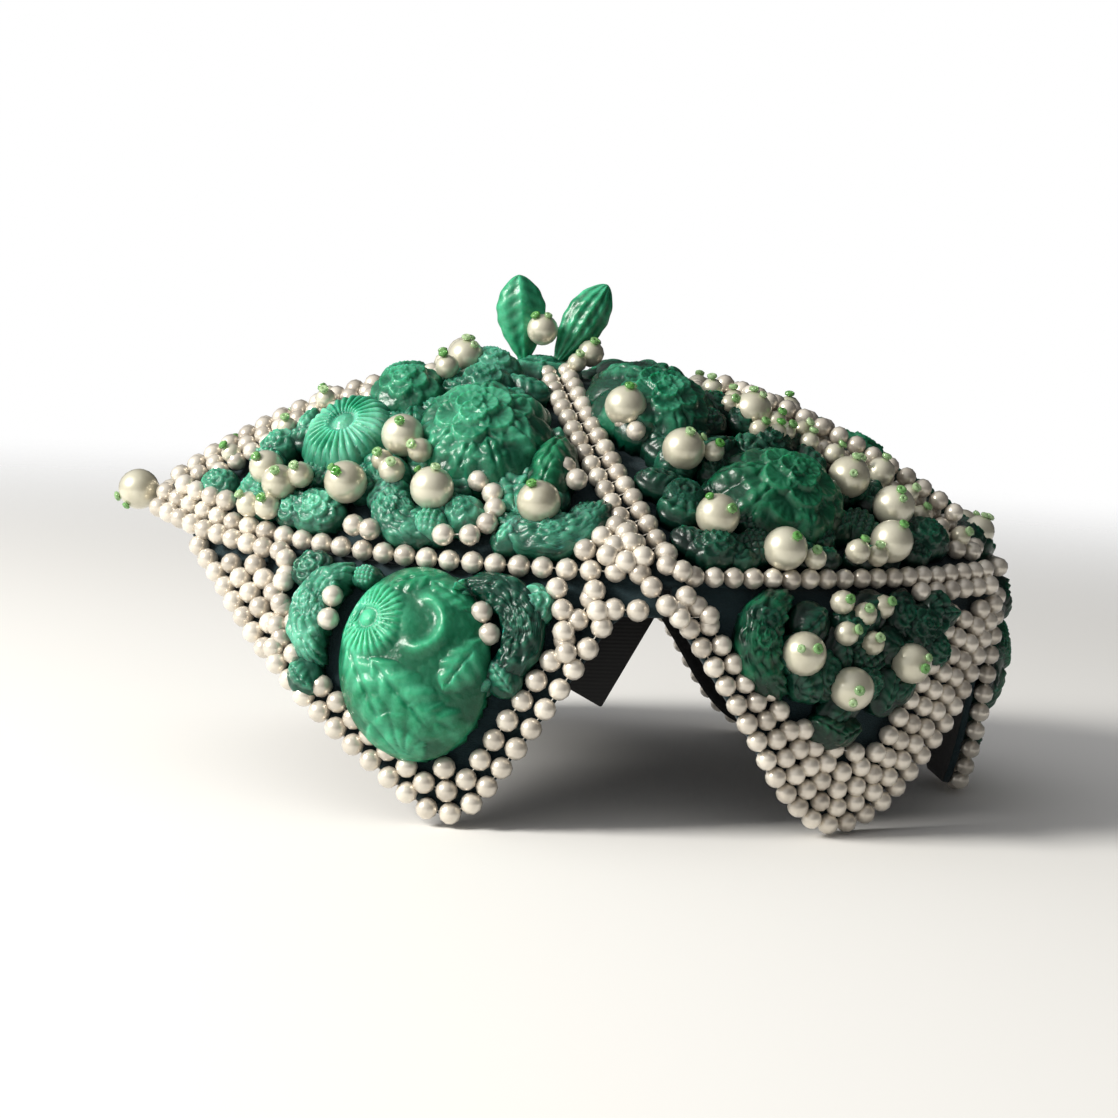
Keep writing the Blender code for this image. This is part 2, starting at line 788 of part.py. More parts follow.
def add_tab(label, hand):
    """The black ribbon tab behind a side notch."""
    bm = bmesh.new()
    bmesh.ops.create_cube(bm, size=1.0)
    bmesh.ops.scale(bm, vec=Vector(TAB), verts=bm.verts)
    tilt = Matrix.Rotation(math.radians(-TAB_TILT), 4, "X")
    turn = Matrix.Rotation(math.radians(TAB_TURN), 4, "Z")
    bmesh.ops.transform(bm, matrix=Matrix.Translation(Vector(TAB_PLACE)) @ turn @ tilt, verts=bm.verts)
    bmesh.ops.scale(bm, vec=Vector((hand, 1.0, 1.0)), verts=bm.verts)
    return add_object(label, as_mesh(bm, label), "ribbon")


def main():
    """Builds the hat."""
    for old in list(bpy.data.objects):
        bpy.data.objects.remove(old)
    add_crown()
    hands = {"left": 1, "right": -1}
    for name, panel in SIDES.items():
        for hand_name, hand in hands.items():
            if name == "back" and hand < 0:
                continue
            label = name if name == "back" else f"{name}_{hand_name}"
            add_petal(label, panel, hand)
            add_border(label, panel, hand)
            add_fold_row(label, panel, hand)
            add_field(f"crown_{label}", name, "crown", hand)
            add_field(f"petal_{label}", name, "petal", hand)
    front, side, back = SIDES["front"], SIDES["side"], SIDES["back"]
    add_ridge("front", [(front, 0.0, 1), (front, 0.0, -1)], RIDGE_START)
    for hand_name, hand in hands.items():
        add_ridge(f"side_{hand_name}", [(front, 1.0, hand), (side, 0.0, hand)], RIDGE_START)
        add_ridge(f"back_{hand_name}", [(side, 1.0, hand), (back, 0.0, hand)], BACK_RIDGE_START)
        for stone in STONES:
            add_stone(stone, f"{stone.name}_{hand_name}", hand)
        add_tab(f"ribbon_tab_{hand_name}", hand)
    for stone in BACK_STONES:
        add_stone(stone, stone.name, 1)
    add_rosette()
    add_leaf("leaf_back", 1)
    add_leaf("leaf_front", -1)
    add_front_pearl()


main()
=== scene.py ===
"""A beaded cocktail hat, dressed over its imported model.

Felt panels carry rows of small pearls along every ridge, fold and edge. Carved green glass and large pearls
fill the fields between the rows. All the sizes are in millimetres, and become metres when a piece is added.
"""

import logging
import math
import random
from dataclasses import dataclass, field
from enum import Enum
from functools import cached_property
from typing import Any

import bmesh
import bpy
import numpy as np
from mathutils import Matrix, Vector

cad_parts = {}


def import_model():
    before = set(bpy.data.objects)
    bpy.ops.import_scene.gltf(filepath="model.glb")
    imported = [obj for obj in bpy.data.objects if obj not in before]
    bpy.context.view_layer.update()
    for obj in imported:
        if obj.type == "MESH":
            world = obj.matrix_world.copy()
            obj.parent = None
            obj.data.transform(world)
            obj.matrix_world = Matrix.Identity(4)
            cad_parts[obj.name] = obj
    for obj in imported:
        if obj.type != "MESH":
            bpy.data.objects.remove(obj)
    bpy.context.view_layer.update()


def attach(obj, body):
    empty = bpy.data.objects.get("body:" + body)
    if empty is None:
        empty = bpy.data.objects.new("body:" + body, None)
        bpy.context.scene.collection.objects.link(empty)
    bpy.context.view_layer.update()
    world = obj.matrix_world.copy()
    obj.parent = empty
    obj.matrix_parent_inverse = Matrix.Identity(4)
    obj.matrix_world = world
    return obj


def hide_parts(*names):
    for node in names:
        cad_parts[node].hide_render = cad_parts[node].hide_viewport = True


MM = 0.001
BODY = "root"
Array = np.ndarray
log = logging.getLogger("hat")


# Where the surface runs
@dataclass(frozen=True)
class Form:
    """The points and curves that the whole surface hangs on, through the middle of the small pearls."""

    apex: tuple = (0.0, -6.37, 94.6)
    front_corner: tuple = (0.0, -96.37, 62.1)
    side_corner: tuple = (66.0, 15.63, 55.1)
    back_corner: tuple = (23.0, 95.63, 55.6)
    far_back_corner: tuple = (-23.0, 95.63, 55.6)
    hem_z: float = 2.1
    hem_half_width: float = 66.0
    hem_half_length: float = 95.0
    hem_centre_y: float = -0.37
    hem_squareness: float = 2.3
    dome_power_side: float = 1.35
    dome_power_end: float = 2.2
    ridge_sway: float = 4.0
    inside: tuple = (0.0, 0.0, 30.0)
    cap_rounding: float = 24.0
    border_corner: float = 8.0
    length_steps: int = 60
    edge_steps: int = 400
    tip_steps: int = 200
    tangent_step: float = 1e-3
    solve_step: float = 1e-4
    solve_rounds: int = 8


FORM = Form()


class Where(Enum):
    """The two surfaces of a side."""

    CROWN = "crown"
    PETAL = "petal"


CROWN, PETAL = Where


def round_min(first: Array, second: Array, rounding: float) -> Array:
    """The lesser of two values, with the corner between them rounded off."""
    overlap = np.maximum(rounding - np.abs(first - second), 0) / rounding
    return np.minimum(first, second) - overlap**2 * rounding / 4


def unit(vectors: Array) -> Array:
    """Vectors brought to a length of 1."""
    return vectors / np.linalg.norm(vectors, axis=-1, keepdims=True)


def heading(degrees: float) -> tuple[float, float]:
    """The cosine and the sine of an angle."""
    return math.cos(math.radians(degrees)), math.sin(math.radians(degrees))


@dataclass(frozen=True)
class Petal:
    """The edge of a petal, as its drop below the fold against the distance along it."""

    start_a: float
    slope_a: float
    curve_a: float
    start_b: float
    slope_b: float
    flat_b: float
    rounding: float
    cap: float
    border_at: tuple
    border_a: tuple
    border_b: float
    border_tip: float


@dataclass(frozen=True)
class Side:
    """One side of the hat: a crown panel between two ridges, and the petal that hangs from its fold."""

    start: tuple
    end: tuple
    bow: tuple
    dip: tuple
    seam: tuple
    row_clear: tuple
    belly: float
    petal: Petal

    def fold(self, share: Array) -> Array:
        """Points of the fold.

        Args:
            share: shares of its length, from the start corner to the end corner.

        Returns:
            One point for each share.
        """
        start, end = np.array(self.start), np.array(self.end)
        chord = end - start
        out = np.array([chord[1], -chord[0], 0.0]) / math.hypot(chord[0], chord[1])
        out *= np.sign(out @ (start + end))
        down = np.array([0.0, 0.0, -1.0])
        near_start = start + chord / 3 + out * self.bow[0] + down * self.dip[0]
        near_end = start + chord * 2 / 3 + out * self.bow[1] + down * self.dip[1]
        share = np.asarray(share, float)[..., None]
        rest = 1 - share
        bent = 3 * near_start * share * rest**2 + 3 * near_end * share**2 * rest
        return start * rest**3 + bent + end * share**3

    @cached_property
    def length(self) -> float:
        """Length of the fold along its curve."""
        line = self.fold(np.linspace(0, 1, FORM.length_steps))
        return float(np.linalg.norm(np.diff(line, axis=0), axis=1).sum())

    def crown(self, share: Array, reach: Array) -> Array:
        """Points of the crown.

        Args:
            share: shares of the fold.
            reach: from the apex, at 0, to the fold, at 1.

        Returns:
            One point for each pair.
        """
        edge = self.fold(share)
        reach = np.asarray(reach, float) + 0 * edge[..., 0]
        toward = np.arctan2(edge[..., 1], edge[..., 0])
        power = FORM.dome_power_side + (FORM.dome_power_end - FORM.dome_power_side) * np.sin(toward) ** 2
        apex = np.array(FORM.apex)
        points = apex + reach[..., None] * (edge - apex)
        points[..., 1] -= FORM.ridge_sway * 4 * reach * (1 - reach) * np.abs(np.cos(toward))
        points[..., 2] = apex[2] - (apex[2] - edge[..., 2]) * np.maximum(reach, 0) ** power
        return points

    def wall(self, share: Array, drop: Array) -> Array:
        """Points of the wall that the petal is cut from.

        Args:
            share: shares of the fold.
            drop: distances below it.

        Returns:
            One point for each pair.
        """
        top = self.fold(share)
        depth = (np.asarray(drop, float) / (top[..., 2] - FORM.hem_z))[..., None]
        toward = np.arctan2(top[..., 1] - FORM.hem_centre_y, top[..., 0])
        cos, sin = np.cos(toward), np.sin(toward)
        squareness = FORM.hem_squareness
        wide = np.abs(cos / FORM.hem_half_width) ** squareness
        long = np.abs(sin / FORM.hem_half_length) ** squareness
        reach = (wide + long) ** (-1 / squareness)
        hem = np.stack([reach * cos, FORM.hem_centre_y + reach * sin, FORM.hem_z + 0 * reach], -1)
        out = np.stack([cos, sin, 0 * cos], -1)
        return top * (1 - depth) + hem * depth + out * self.belly * 4 * depth * (1 - depth)

    def surface(self, where: Where, share: Array, other: Array) -> Array:
        """Points of the crown or of the wall."""
        return self.crown(share, other) if where is CROWN else self.wall(share, other)

    def lifted(self, where: Where, share: Any, other: Any, lift: Any) -> tuple[Array, Array]:
        """Points at a lift outside a surface.

        Args:
            where: crown or petal.
            share: shares of the fold.
            other: reach on the crown, drop on the petal.
            lift: distance outside the surface.

        Returns:
            The points and the outward normals there.
        """
        step = FORM.tangent_step
        here = self.surface(where, share, other)
        across = self.surface(where, share + step, other) - here
        down = self.surface(where, share, other + step) - here
        normal = unit(np.cross(across, down))
        normal = normal * np.sign(((here - np.array(FORM.inside)) * normal).sum(-1, keepdims=True))
        return here + normal * np.asarray(lift)[..., None], normal

    def plain_edge(self, share: Array, inset_a: Any, inset_b: Any) -> Array:
        """Drop of a line inside the petal's edge.

        Args:
            share: shares of the fold.
            inset_a: how far inside it lies on the start side.
            inset_b: the same on the end side.

        Returns:
            One drop for each share.
        """
        petal = self.petal
        run = np.asarray(share, float) * self.length
        slope_a = petal.slope_a + 2 * petal.curve_a * run
        left = petal.start_a + petal.slope_a * run + petal.curve_a * run**2
        beyond = np.maximum(self.length - run - petal.flat_b, 0)
        right = petal.start_b + petal.slope_b * beyond
        left = left - inset_a * np.hypot(1, slope_a)
        right = right - inset_b * np.hypot(1, petal.slope_b * (beyond > 0))
        pointed = round_min(left, right, petal.rounding)
        return round_min(pointed, petal.cap - inset_a + 0 * pointed, FORM.cap_rounding)

    @cached_property
    def hem_scale(self) -> float:
        """Share by which the plain edge is stretched, so that the lowest pearl stands on the floor."""
        shares = np.linspace(0, 1, FORM.edge_steps)
        height = self.fold(shares)[:, 2] - FORM.hem_z
        return float(1 / (self.plain_edge(shares, 0, 0) / height).max())

    def edge(self, share: Array, inset_a: Any = 0.0, inset_b: Any = None) -> Array:
        """Drop of the petal's edge, or of a line inside it."""
        inset_b = inset_a if inset_b is None else inset_b
        return self.plain_edge(share, inset_a, inset_b) * self.hem_scale

    def border_inside(self, share: Array, margin: float) -> Array:
        """Drop of a line inside the pearl border.

        Args:
            share: shares of the fold.
            margin: distance from the border's inner edge.

        Returns:
            One drop for each share.
        """
        petal = self.petal
        inset = np.interp(share * self.length, petal.border_at, petal.border_a)
        inner = self.edge(share, inset + margin, petal.border_b + margin)
        lowest = self.edge(np.linspace(0, 1, FORM.tip_steps)).max() - petal.border_tip - margin
        return round_min(inner, lowest + 0 * inner, FORM.border_corner)


FRONT = Side(
    FORM.front_corner, FORM.side_corner, bow=(20.0, 14.0), dip=(8.0, 3.0), seam=(3.4, 1.5),
    row_clear=(2.5, 3.2), belly=5.0,
    petal=Petal(
        start_a=1.5, slope_a=0.12, curve_a=0.0045, start_b=7.6, slope_b=1.65, flat_b=11.1, rounding=16.0,
        cap=900.0, border_at=(0.0, 30.0, 44.0, 62.0, 74.0), border_a=(20.0, 20.0, 12.0, 11.4, 6.8),
        border_b=6.8, border_tip=10.8,
    ),
)
FLANK = Side(
    FORM.side_corner, FORM.back_corner, bow=(9.0, 9.0), dip=(1.0, 1.0), seam=(1.5, 1.6), row_clear=(3.2, 3.2),
    belly=5.0,
    petal=Petal(
        start_a=5.0, slope_a=1.72, curve_a=0.0, start_b=3.5, slope_b=1.12, flat_b=0.0, rounding=44.0,
        cap=900.0, border_at=(0.0, 10.0, 18.0, 29.0), border_a=(6.8, 6.8, 8.0, 11.5), border_b=11.4,
        border_tip=15.4,
    ),
)
BACK = Side(
    FORM.back_corner, FORM.far_back_corner, bow=(5.0, 5.0), dip=(1.5, 1.5), seam=(1.6, 1.6),
    row_clear=(3.2, 3.2), belly=1.5,
    petal=Petal(
        start_a=5.0, slope_a=4.6, curve_a=0.0, start_b=5.0, slope_b=4.6, flat_b=0.0, rounding=30.0, cap=53.5,
        border_at=(0.0, 1.0), border_a=(6.8, 6.8), border_b=6.8, border_tip=11.4,
    ),
)


@dataclass(frozen=True)
class Panel:
    """One side of the hat on one hand: 1 for the wearer's left, -1 for the right."""

    label: str
    side: Side
    hand: int

    @property
    def kind(self) -> str:
        """Which kind of side it is: front, side or back."""
        return self.label.split("_")[0]

    def mirrored(self, points: Array) -> Array:
        """Points taken over to this panel's hand."""
        return points * np.array([self.hand, 1.0, 1.0])

    def share(self, where: Where, along: Any) -> Any:
        """Share of the fold, from a share on the crown or from a distance along a petal's fold."""
        return along if where is CROWN else along / self.side.length

    def spots(self, where: Where, share: Any, other: Any, lift: Any = 0.0) -> tuple[Array, Array]:
        """Points at a lift outside this panel.

        Args:
            where: crown or petal.
            share: shares of the fold.
            other: reach on the crown, drop on the petal.
            lift: distance outside the surface.

        Returns:
            The points and the outward normals there.
        """
        share, other = np.broadcast_arrays(np.asarray(share, float), np.asarray(other, float))
        points, normals = self.side.lifted(where, share, other, np.asarray(lift, float) + 0 * share)
        return self.mirrored(points), self.mirrored(normals)

    def laid_out(self, where: Where, along: float, other: float, offsets: Array, turn: float) -> tuple:
        """Points of the surface at offsets from a place, measured in the plane that touches it there.

        Args:
            where: crown or petal.
            along: share on the crown, distance along the fold on the petal.
            other: reach on the crown, drop on the petal.
            offsets: right and up, one pair for each point.
            turn: degrees by which the offsets are turned.

        Returns:
            The points, and the one normal at the place.
        """
        side, step = self.side, FORM.solve_step
        share = self.share(where, along)
        centre, normal = side.lifted(where, np.array([share]), np.array([other]), np.zeros(1))
        centre, normal = centre[0], normal[0]
        level = unit(np.cross([0.0, 0.0, 1.0], normal))
        upward = np.cross(normal, level)
        cos, sin = heading(turn)
        right = level * cos + upward * sin
        up = upward * cos - level * sin
        u = np.full(len(offsets), share)
        v = np.full(len(offsets), other)
        for _ in range(FORM.solve_rounds):
            here = side.surface(where, u, v)
            miss = np.stack([(here - centre) @ right, (here - centre) @ up], -1) - offsets
            by_u = (side.surface(where, u + step, v) - here) / step
            by_v = (side.surface(where, u, v + step) - here) / step
            a, b, c, d = by_u @ right, by_v @ right, by_u @ up, by_v @ up
            span = a * d - b * c
            u = u - (d * miss[:, 0] - b * miss[:, 1]) / span
            v = v - (a * miss[:, 1] - c * miss[:, 0]) / span
        return self.mirrored(side.surface(where, u, v)), self.mirrored(normal)


PANELS = (
    Panel("front_left", FRONT, 1), Panel("front_right", FRONT, -1), Panel("side_left", FLANK, 1),
    Panel("side_right", FLANK, -1), Panel("back", BACK, 1),
)


# The sockets of a colour Mix node
MIX_SHARE, MIX_A, MIX_B, MIX_RESULT = 0, 6, 7, 2
COLOURS = {"data_type": "RGBA"}
WAVES_IN_A_UNIT = 10 / math.pi


# Finishes
def linear(colour: str) -> tuple[float, float, float, float]:
    """A linear colour from an sRGB hex value."""
    parts = [int(colour[at : at + 2], 16) / 255 for at in (1, 3, 5)]
    return *(part / 12.92 if part <= 0.04045 else ((part + 0.055) / 1.055) ** 2.4 for part in parts), 1.0


def per_metre(size: float) -> float:
    """The scale of a pattern whose lumps are this many millimetres wide."""
    return 1 / (size * MM)


def plug(tree: Any, node: Any, inputs: dict) -> None:
    """Sets a node's sockets.

    Args:
        tree: the node tree.
        node: the node.
        inputs: a value or another node's output for each socket.
    """
    for key, value in inputs.items():
        if isinstance(value, bpy.types.NodeSocket):
            tree.links.new(value, node.inputs[key])
        else:
            node.inputs[key].default_value = value


def add_node(tree: Any, kind: str, settings: dict, inputs: dict) -> Any:
    """Adds a node.

    Args:
        tree: the node tree.
        kind: the node's type.
        settings: its properties.
        inputs: a value or another node's output for each socket.

    Returns:
        The node.
    """
    node = tree.nodes.new(kind)
    for key, value in settings.items():
        setattr(node, key, value)
    plug(tree, node, inputs)
    return node


@dataclass(frozen=True)
class Finish:
    """A finish and the material slot of the record that it belongs to."""

    name: str
    slot: str

    def dress(self, tree: Any, place: Any) -> dict:
        """Adds this finish's own nodes.

        Args:
            tree: the node tree.
            place: the output that says where a point lies in its piece.

        Returns:
            What goes into the shader's sockets.
        """
        raise NotImplementedError

    def material(self) -> bpy.types.Material:
        """The material, made once.

        Returns:
            The material.
        """
        if self.name in bpy.data.materials:
            return bpy.data.materials[self.name]
        made = bpy.data.materials.new(self.name)
        made.use_nodes = True
        tree = made.node_tree
        place = add_node(tree, "ShaderNodeTexCoord", {}, {}).outputs["Object"]
        plug(tree, tree.nodes["Principled BSDF"], self.dress(tree, place))
        return made


@dataclass(frozen=True)
class LacqueredPearl(Finish):
    """Glass beads dipped in pearl essence: a cream body under clear lacquer, each bead a shade of its own."""

    light: str
    deep: str
    roughness: float

    def dress(self, tree: Any, place: Any) -> dict:
        """Mixes two creams by bead and by soft clouds about 3 mm wide."""
        shade = add_node(tree, "ShaderNodeAttribute", {"attribute_name": "shade"}, {})
        cloud = add_node(
            tree, "ShaderNodeTexNoise", {}, {"Vector": place, "Scale": per_metre(2.941), "Detail": 2.0}
        )
        both = add_node(
            tree, "ShaderNodeMath", {"operation": "MULTIPLY"},
            {0: shade.outputs["Fac"], 1: cloud.outputs["Fac"]},
        )
        body = add_node(
            tree, "ShaderNodeMix", COLOURS,
            {MIX_SHARE: both.outputs[0], MIX_A: linear(self.light), MIX_B: linear(self.deep)},
        )
        # Fish-scale essence lies in leaves under the lacquer, so a bead mirrors the room softly, half like a
        # metal, and the lacquer adds one sharp highlight.
        return {
            "Base Color": body.outputs[MIX_RESULT], "Metallic": 0.42, "Roughness": self.roughness,
            "IOR": 1.53, "Coat Weight": 0.85, "Coat Roughness": 0.08,
        }


@dataclass(frozen=True)
class CarvedGlass(Finish):
    """Moulded jade-coloured glass with a polished skin: painted shade turns the cuts deep green, and milky
    clouds show only on the raised carving as painted light.
    """

    deep: str
    body: str
    milky: str

    def dress(self, tree: Any, place: Any) -> dict:
        """Paints shade into the cuts and light onto the raised carving by its height, lays drifting milky
        clouds over it, and roughens the skin with fine facets.
        """
        relief = add_node(tree, "ShaderNodeAttribute", {"attribute_name": "relief"}, {})
        # Clouds in the glass run about 8 mm.
        cloud = add_node(
            tree, "ShaderNodeTexNoise", {},
            {"Vector": place, "Scale": per_metre(8.333), "Detail": 5.0, "Roughness": 0.62},
        )
        drift = add_node(
            tree, "ShaderNodeMapRange", {},
            {"Value": cloud.outputs["Fac"], "From Min": 0.36, "From Max": 0.66, "To Max": 0.95},
        )
        # The carving's height paints shade: deep green low in the cuts, the body colour on the raised parts.
        cut = add_node(
            tree, "ShaderNodeMapRange", {},
            {"Value": relief.outputs["Fac"], "From Min": 0.05, "From Max": 0.75},
        )
        lower = add_node(
            tree, "ShaderNodeMix", COLOURS,
            {MIX_SHARE: cut.outputs[0], MIX_A: linear(self.deep), MIX_B: linear(self.body)},
        )
        # Milky clouds show only on the raised carving: the glass's own clouds, kept there as painted light.
        cloud_and_painted_light = add_node(
            tree, "ShaderNodeMath", {"operation": "MULTIPLY"}, {0: drift.outputs[0], 1: cut.outputs[0]}
        )
        colour = add_node(
            tree, "ShaderNodeMix", COLOURS,
            {MIX_SHARE: cloud_and_painted_light.outputs[0], MIX_A: lower.outputs[MIX_RESULT], MIX_B: linear(self.milky)},
        )
        # The tool's small facets are about 1.4 mm, and the mould's ripple over them about 0.8 mm.
        facets = add_node(tree, "ShaderNodeTexVoronoi", {}, {"Vector": place, "Scale": per_metre(1.4286)})
        chipped = add_node(
            tree, "ShaderNodeBump", {},
            {"Height": facets.outputs["Distance"], "Strength": 0.24, "Distance": 0.4 * MM},
        )
        ripple = add_node(
            tree, "ShaderNodeTexNoise", {},
            {"Vector": place, "Scale": per_metre(0.7692), "Detail": 2.0, "Roughness": 0.5},
        )
        bump = add_node(
            tree, "ShaderNodeBump", {},
            {
                "Height": ripple.outputs["Fac"], "Strength": 0.35, "Distance": 0.2 * MM,
                "Normal": chipped.outputs["Normal"],
            },
        )
        # Light enters the glass and comes out green up to 3 mm away.
        return {
            "Base Color": colour.outputs[MIX_RESULT], "Normal": bump.outputs["Normal"], "Roughness": 0.33,
            "IOR": 1.45, "Specular IOR Level": 0.4, "Coat Weight": 0.1, "Coat Roughness": 0.1,
            "Subsurface Weight": 0.65, "Subsurface Radius": (0.2, 1.0, 0.65), "Subsurface Scale": 3 * MM,
        }


@dataclass(frozen=True)
class SeedGlass(Finish):
    """Clear pressed seed beads, pale green and wet looking."""

    colour: str
    light: str

    def dress(self, tree: Any, place: Any) -> dict:
        """Lets half of the light through, tinted by bead."""
        shade = add_node(tree, "ShaderNodeAttribute", {"attribute_name": "shade"}, {})
        tint = add_node(
            tree, "ShaderNodeMix", COLOURS,
            {MIX_SHARE: shade.outputs["Fac"], MIX_A: linear(self.colour), MIX_B: linear(self.light)},
        )
        return {
            "Base Color": tint.outputs[MIX_RESULT], "Roughness": 0.04, "IOR": 1.5, "Transmission Weight": 0.45
        }


@dataclass(frozen=True)
class WoolFelt(Finish):
    """Pressed wool felt over buckram: matt, with short fibres that catch a little light."""

    colour: str
    fibre: str

    def dress(self, tree: Any, place: Any) -> dict:
        """Scatters fibres about 0.4 mm wide, drawn coarser than wool's 0.02 mm so that they show."""
        stretch = add_node(tree, "ShaderNodeMapping", {}, {"Vector": place, "Scale": (1.0, 0.35, 1.0)})
        fibres = add_node(
            tree, "ShaderNodeTexNoise", {},
            {"Vector": stretch.outputs[0], "Scale": per_metre(0.4167), "Detail": 4.0, "Distortion": 1.2},
        )
        colour = add_node(
            tree, "ShaderNodeMix", COLOURS,
            {MIX_SHARE: fibres.outputs["Fac"], MIX_A: linear(self.colour), MIX_B: linear(self.fibre)},
        )
        bump = add_node(
            tree, "ShaderNodeBump", {},
            {"Height": fibres.outputs["Fac"], "Strength": 0.8, "Distance": 0.3 * MM},
        )
        return {
            "Base Color": colour.outputs[MIX_RESULT], "Normal": bump.outputs["Normal"], "Roughness": 0.95,
            "Sheen Weight": 0.08, "Sheen Roughness": 0.6,
        }


@dataclass(frozen=True)
class SewingThread(Finish):
    """Waxed white cotton thread, two-ply and lightly twisted."""

    colour: str
    shadow: str

    def dress(self, tree: Any, place: Any) -> dict:
        """Twists fine darker lines round the thread every 0.6 mm."""
        twist = add_node(
            tree, "ShaderNodeTexWave", {"bands_direction": "DIAGONAL"},
            {"Vector": place, "Scale": per_metre(0.6042 * WAVES_IN_A_UNIT), "Distortion": 1.0},
        )
        colour = add_node(
            tree, "ShaderNodeMix", COLOURS,
            {MIX_SHARE: twist.outputs["Fac"], MIX_A: linear(self.shadow), MIX_B: linear(self.colour)},
        )
        return {"Base Color": colour.outputs[MIX_RESULT], "Roughness": 0.6}


@dataclass(frozen=True)
class GrosgrainRibbon(Finish):
    """Black rayon grosgrain: close cross ribs with a low silky gloss."""

    colour: str
    rib: str

    def dress(self, tree: Any, place: Any) -> dict:
        """Raises ribs 0.8 mm apart across the ribbon."""
        ribs = add_node(
            tree, "ShaderNodeTexWave", {"bands_direction": "Z", "wave_profile": "SIN"},
            {"Vector": place, "Scale": per_metre(0.8055 * WAVES_IN_A_UNIT)},
        )
        colour = add_node(
            tree, "ShaderNodeMix", COLOURS,
            {MIX_SHARE: ribs.outputs["Fac"], MIX_A: linear(self.colour), MIX_B: linear(self.rib)},
        )
        bump = add_node(
            tree, "ShaderNodeBump", {},
            {"Height": ribs.outputs["Fac"], "Strength": 0.12, "Distance": 0.2 * MM},
        )
        return {
            "Base Color": colour.outputs[MIX_RESULT], "Normal": bump.outputs["Normal"], "Roughness": 0.5,
            "Specular IOR Level": 0.2,
        }


@dataclass(frozen=True)
class MattCard(Finish):
    """Smooth white card for the floor under the hat."""

    colour: str

    def dress(self, tree: Any, place: Any) -> dict:
        """Lets the card fade into the room's light between 0.3 and 1.1 m out."""
        far = add_node(tree, "ShaderNodeVectorMath", {"operation": "LENGTH"}, {0: place})
        fade = add_node(
            tree, "ShaderNodeMapRange", {"interpolation_type": "SMOOTHSTEP"},
            {
                "Value": far.outputs["Value"], "From Min": 0.3, "From Max": 1.1, "To Min": 1.0, "To Max": 0.0,
            },
        )
        return {"Alpha": fade.outputs[0], "Base Color": linear(self.colour), "Roughness": 0.9}


SMALL_PEARL = LacqueredPearl("small_pearl", "pearl", "#EEE6D8", "#8E8274", 0.30)
LARGE_PEARL = LacqueredPearl("large_pearl", "pearl", "#DEDAC6", "#9C9579", 0.33)
# Each glass's first colour is the painted shade deep in its cuts, and its last is the milky cloud that shows
# as painted light on the raised carving.
PALE_JADE = CarvedGlass("pale_jade_glass", "green_stone", "#013A28", "#0C6B4B", "#52B08B")
MILKY_JADE = CarvedGlass("milky_jade_glass", "green_stone", "#0A6046", "#2A8D6E", "#7ECBAE")
EMERALD = CarvedGlass("emerald_glass", "green_stone", "#014A30", "#067D53", "#56BF95")
DARK_JADE = CarvedGlass("dark_jade_glass", "green_stone", "#012719", "#085035", "#28845D")
FIELD_JADE = CarvedGlass("field_jade_glass", "carved_field", "#053B2C", "#0E5E47", "#66B598")
FIELD_DARK = CarvedGlass("field_dark_glass", "carved_field", "#031C15", "#083426", "#215F49")
SEED = SeedGlass("seed_bead", "green_stone", "#5DB04A", "#CDE8B8")
FELT = WoolFelt("teal_felt", "cloth", "#091C21", "#14333A")
LINING = WoolFelt("black_lining", "cloth", "#070808", "#1A1A1C")
THREAD = SewingThread("white_thread", "pearl", "#F2EFE8", "#BFB8AA")
RIBBON = GrosgrainRibbon("black_ribbon", "ribbon", "#060607", "#08080A")
CARD = MattCard("floor_card", "cloth", "#F4F3F1")


def placed(name: str, data: Any) -> Any:
    """Makes an object and puts it into the scene.

    Args:
        name: its name.
        data: its mesh, curve, light or camera.

    Returns:
        The object.
    """
    made = bpy.data.objects.new(name, data)
    bpy.context.scene.collection.objects.link(made)
    return made


def settle(name: str, data: Any, finish: Finish, nodes: tuple = ()) -> Any:
    """Makes an object that rides on the hat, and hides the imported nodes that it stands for.

    Args:
        name: the piece's name.
        data: its mesh or curve.
        finish: its finish.
        nodes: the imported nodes.

    Returns:
        The object.
    """
    made = placed(name, data)
    data.materials.append(finish.material())
    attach(made, BODY)
    if nodes:
        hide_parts(*nodes)
    count = len(data.polygons) if made.type == "MESH" else len(data.splines)
    log.info("%s: %d faces or runs, stands for %s", name, count, ", ".join(nodes) or "no node")
    return made


def add_piece(name: str, bm: bmesh.types.BMesh, finish: Finish, nodes: tuple = ()) -> Any:
    """Adds a piece that rides on the hat.

    Args:
        name: the piece's name.
        bm: its shape in millimetres, which is freed.
        finish: its finish.
        nodes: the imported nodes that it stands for.

    Returns:
        The object.
    """
    bmesh.ops.scale(bm, vec=Vector((MM, MM, MM)), verts=bm.verts)
    for face in bm.faces:
        face.smooth = True
    mesh = bpy.data.meshes.new(name)
    bm.to_mesh(mesh)
    bm.free()
    return settle(name, mesh, finish, nodes)


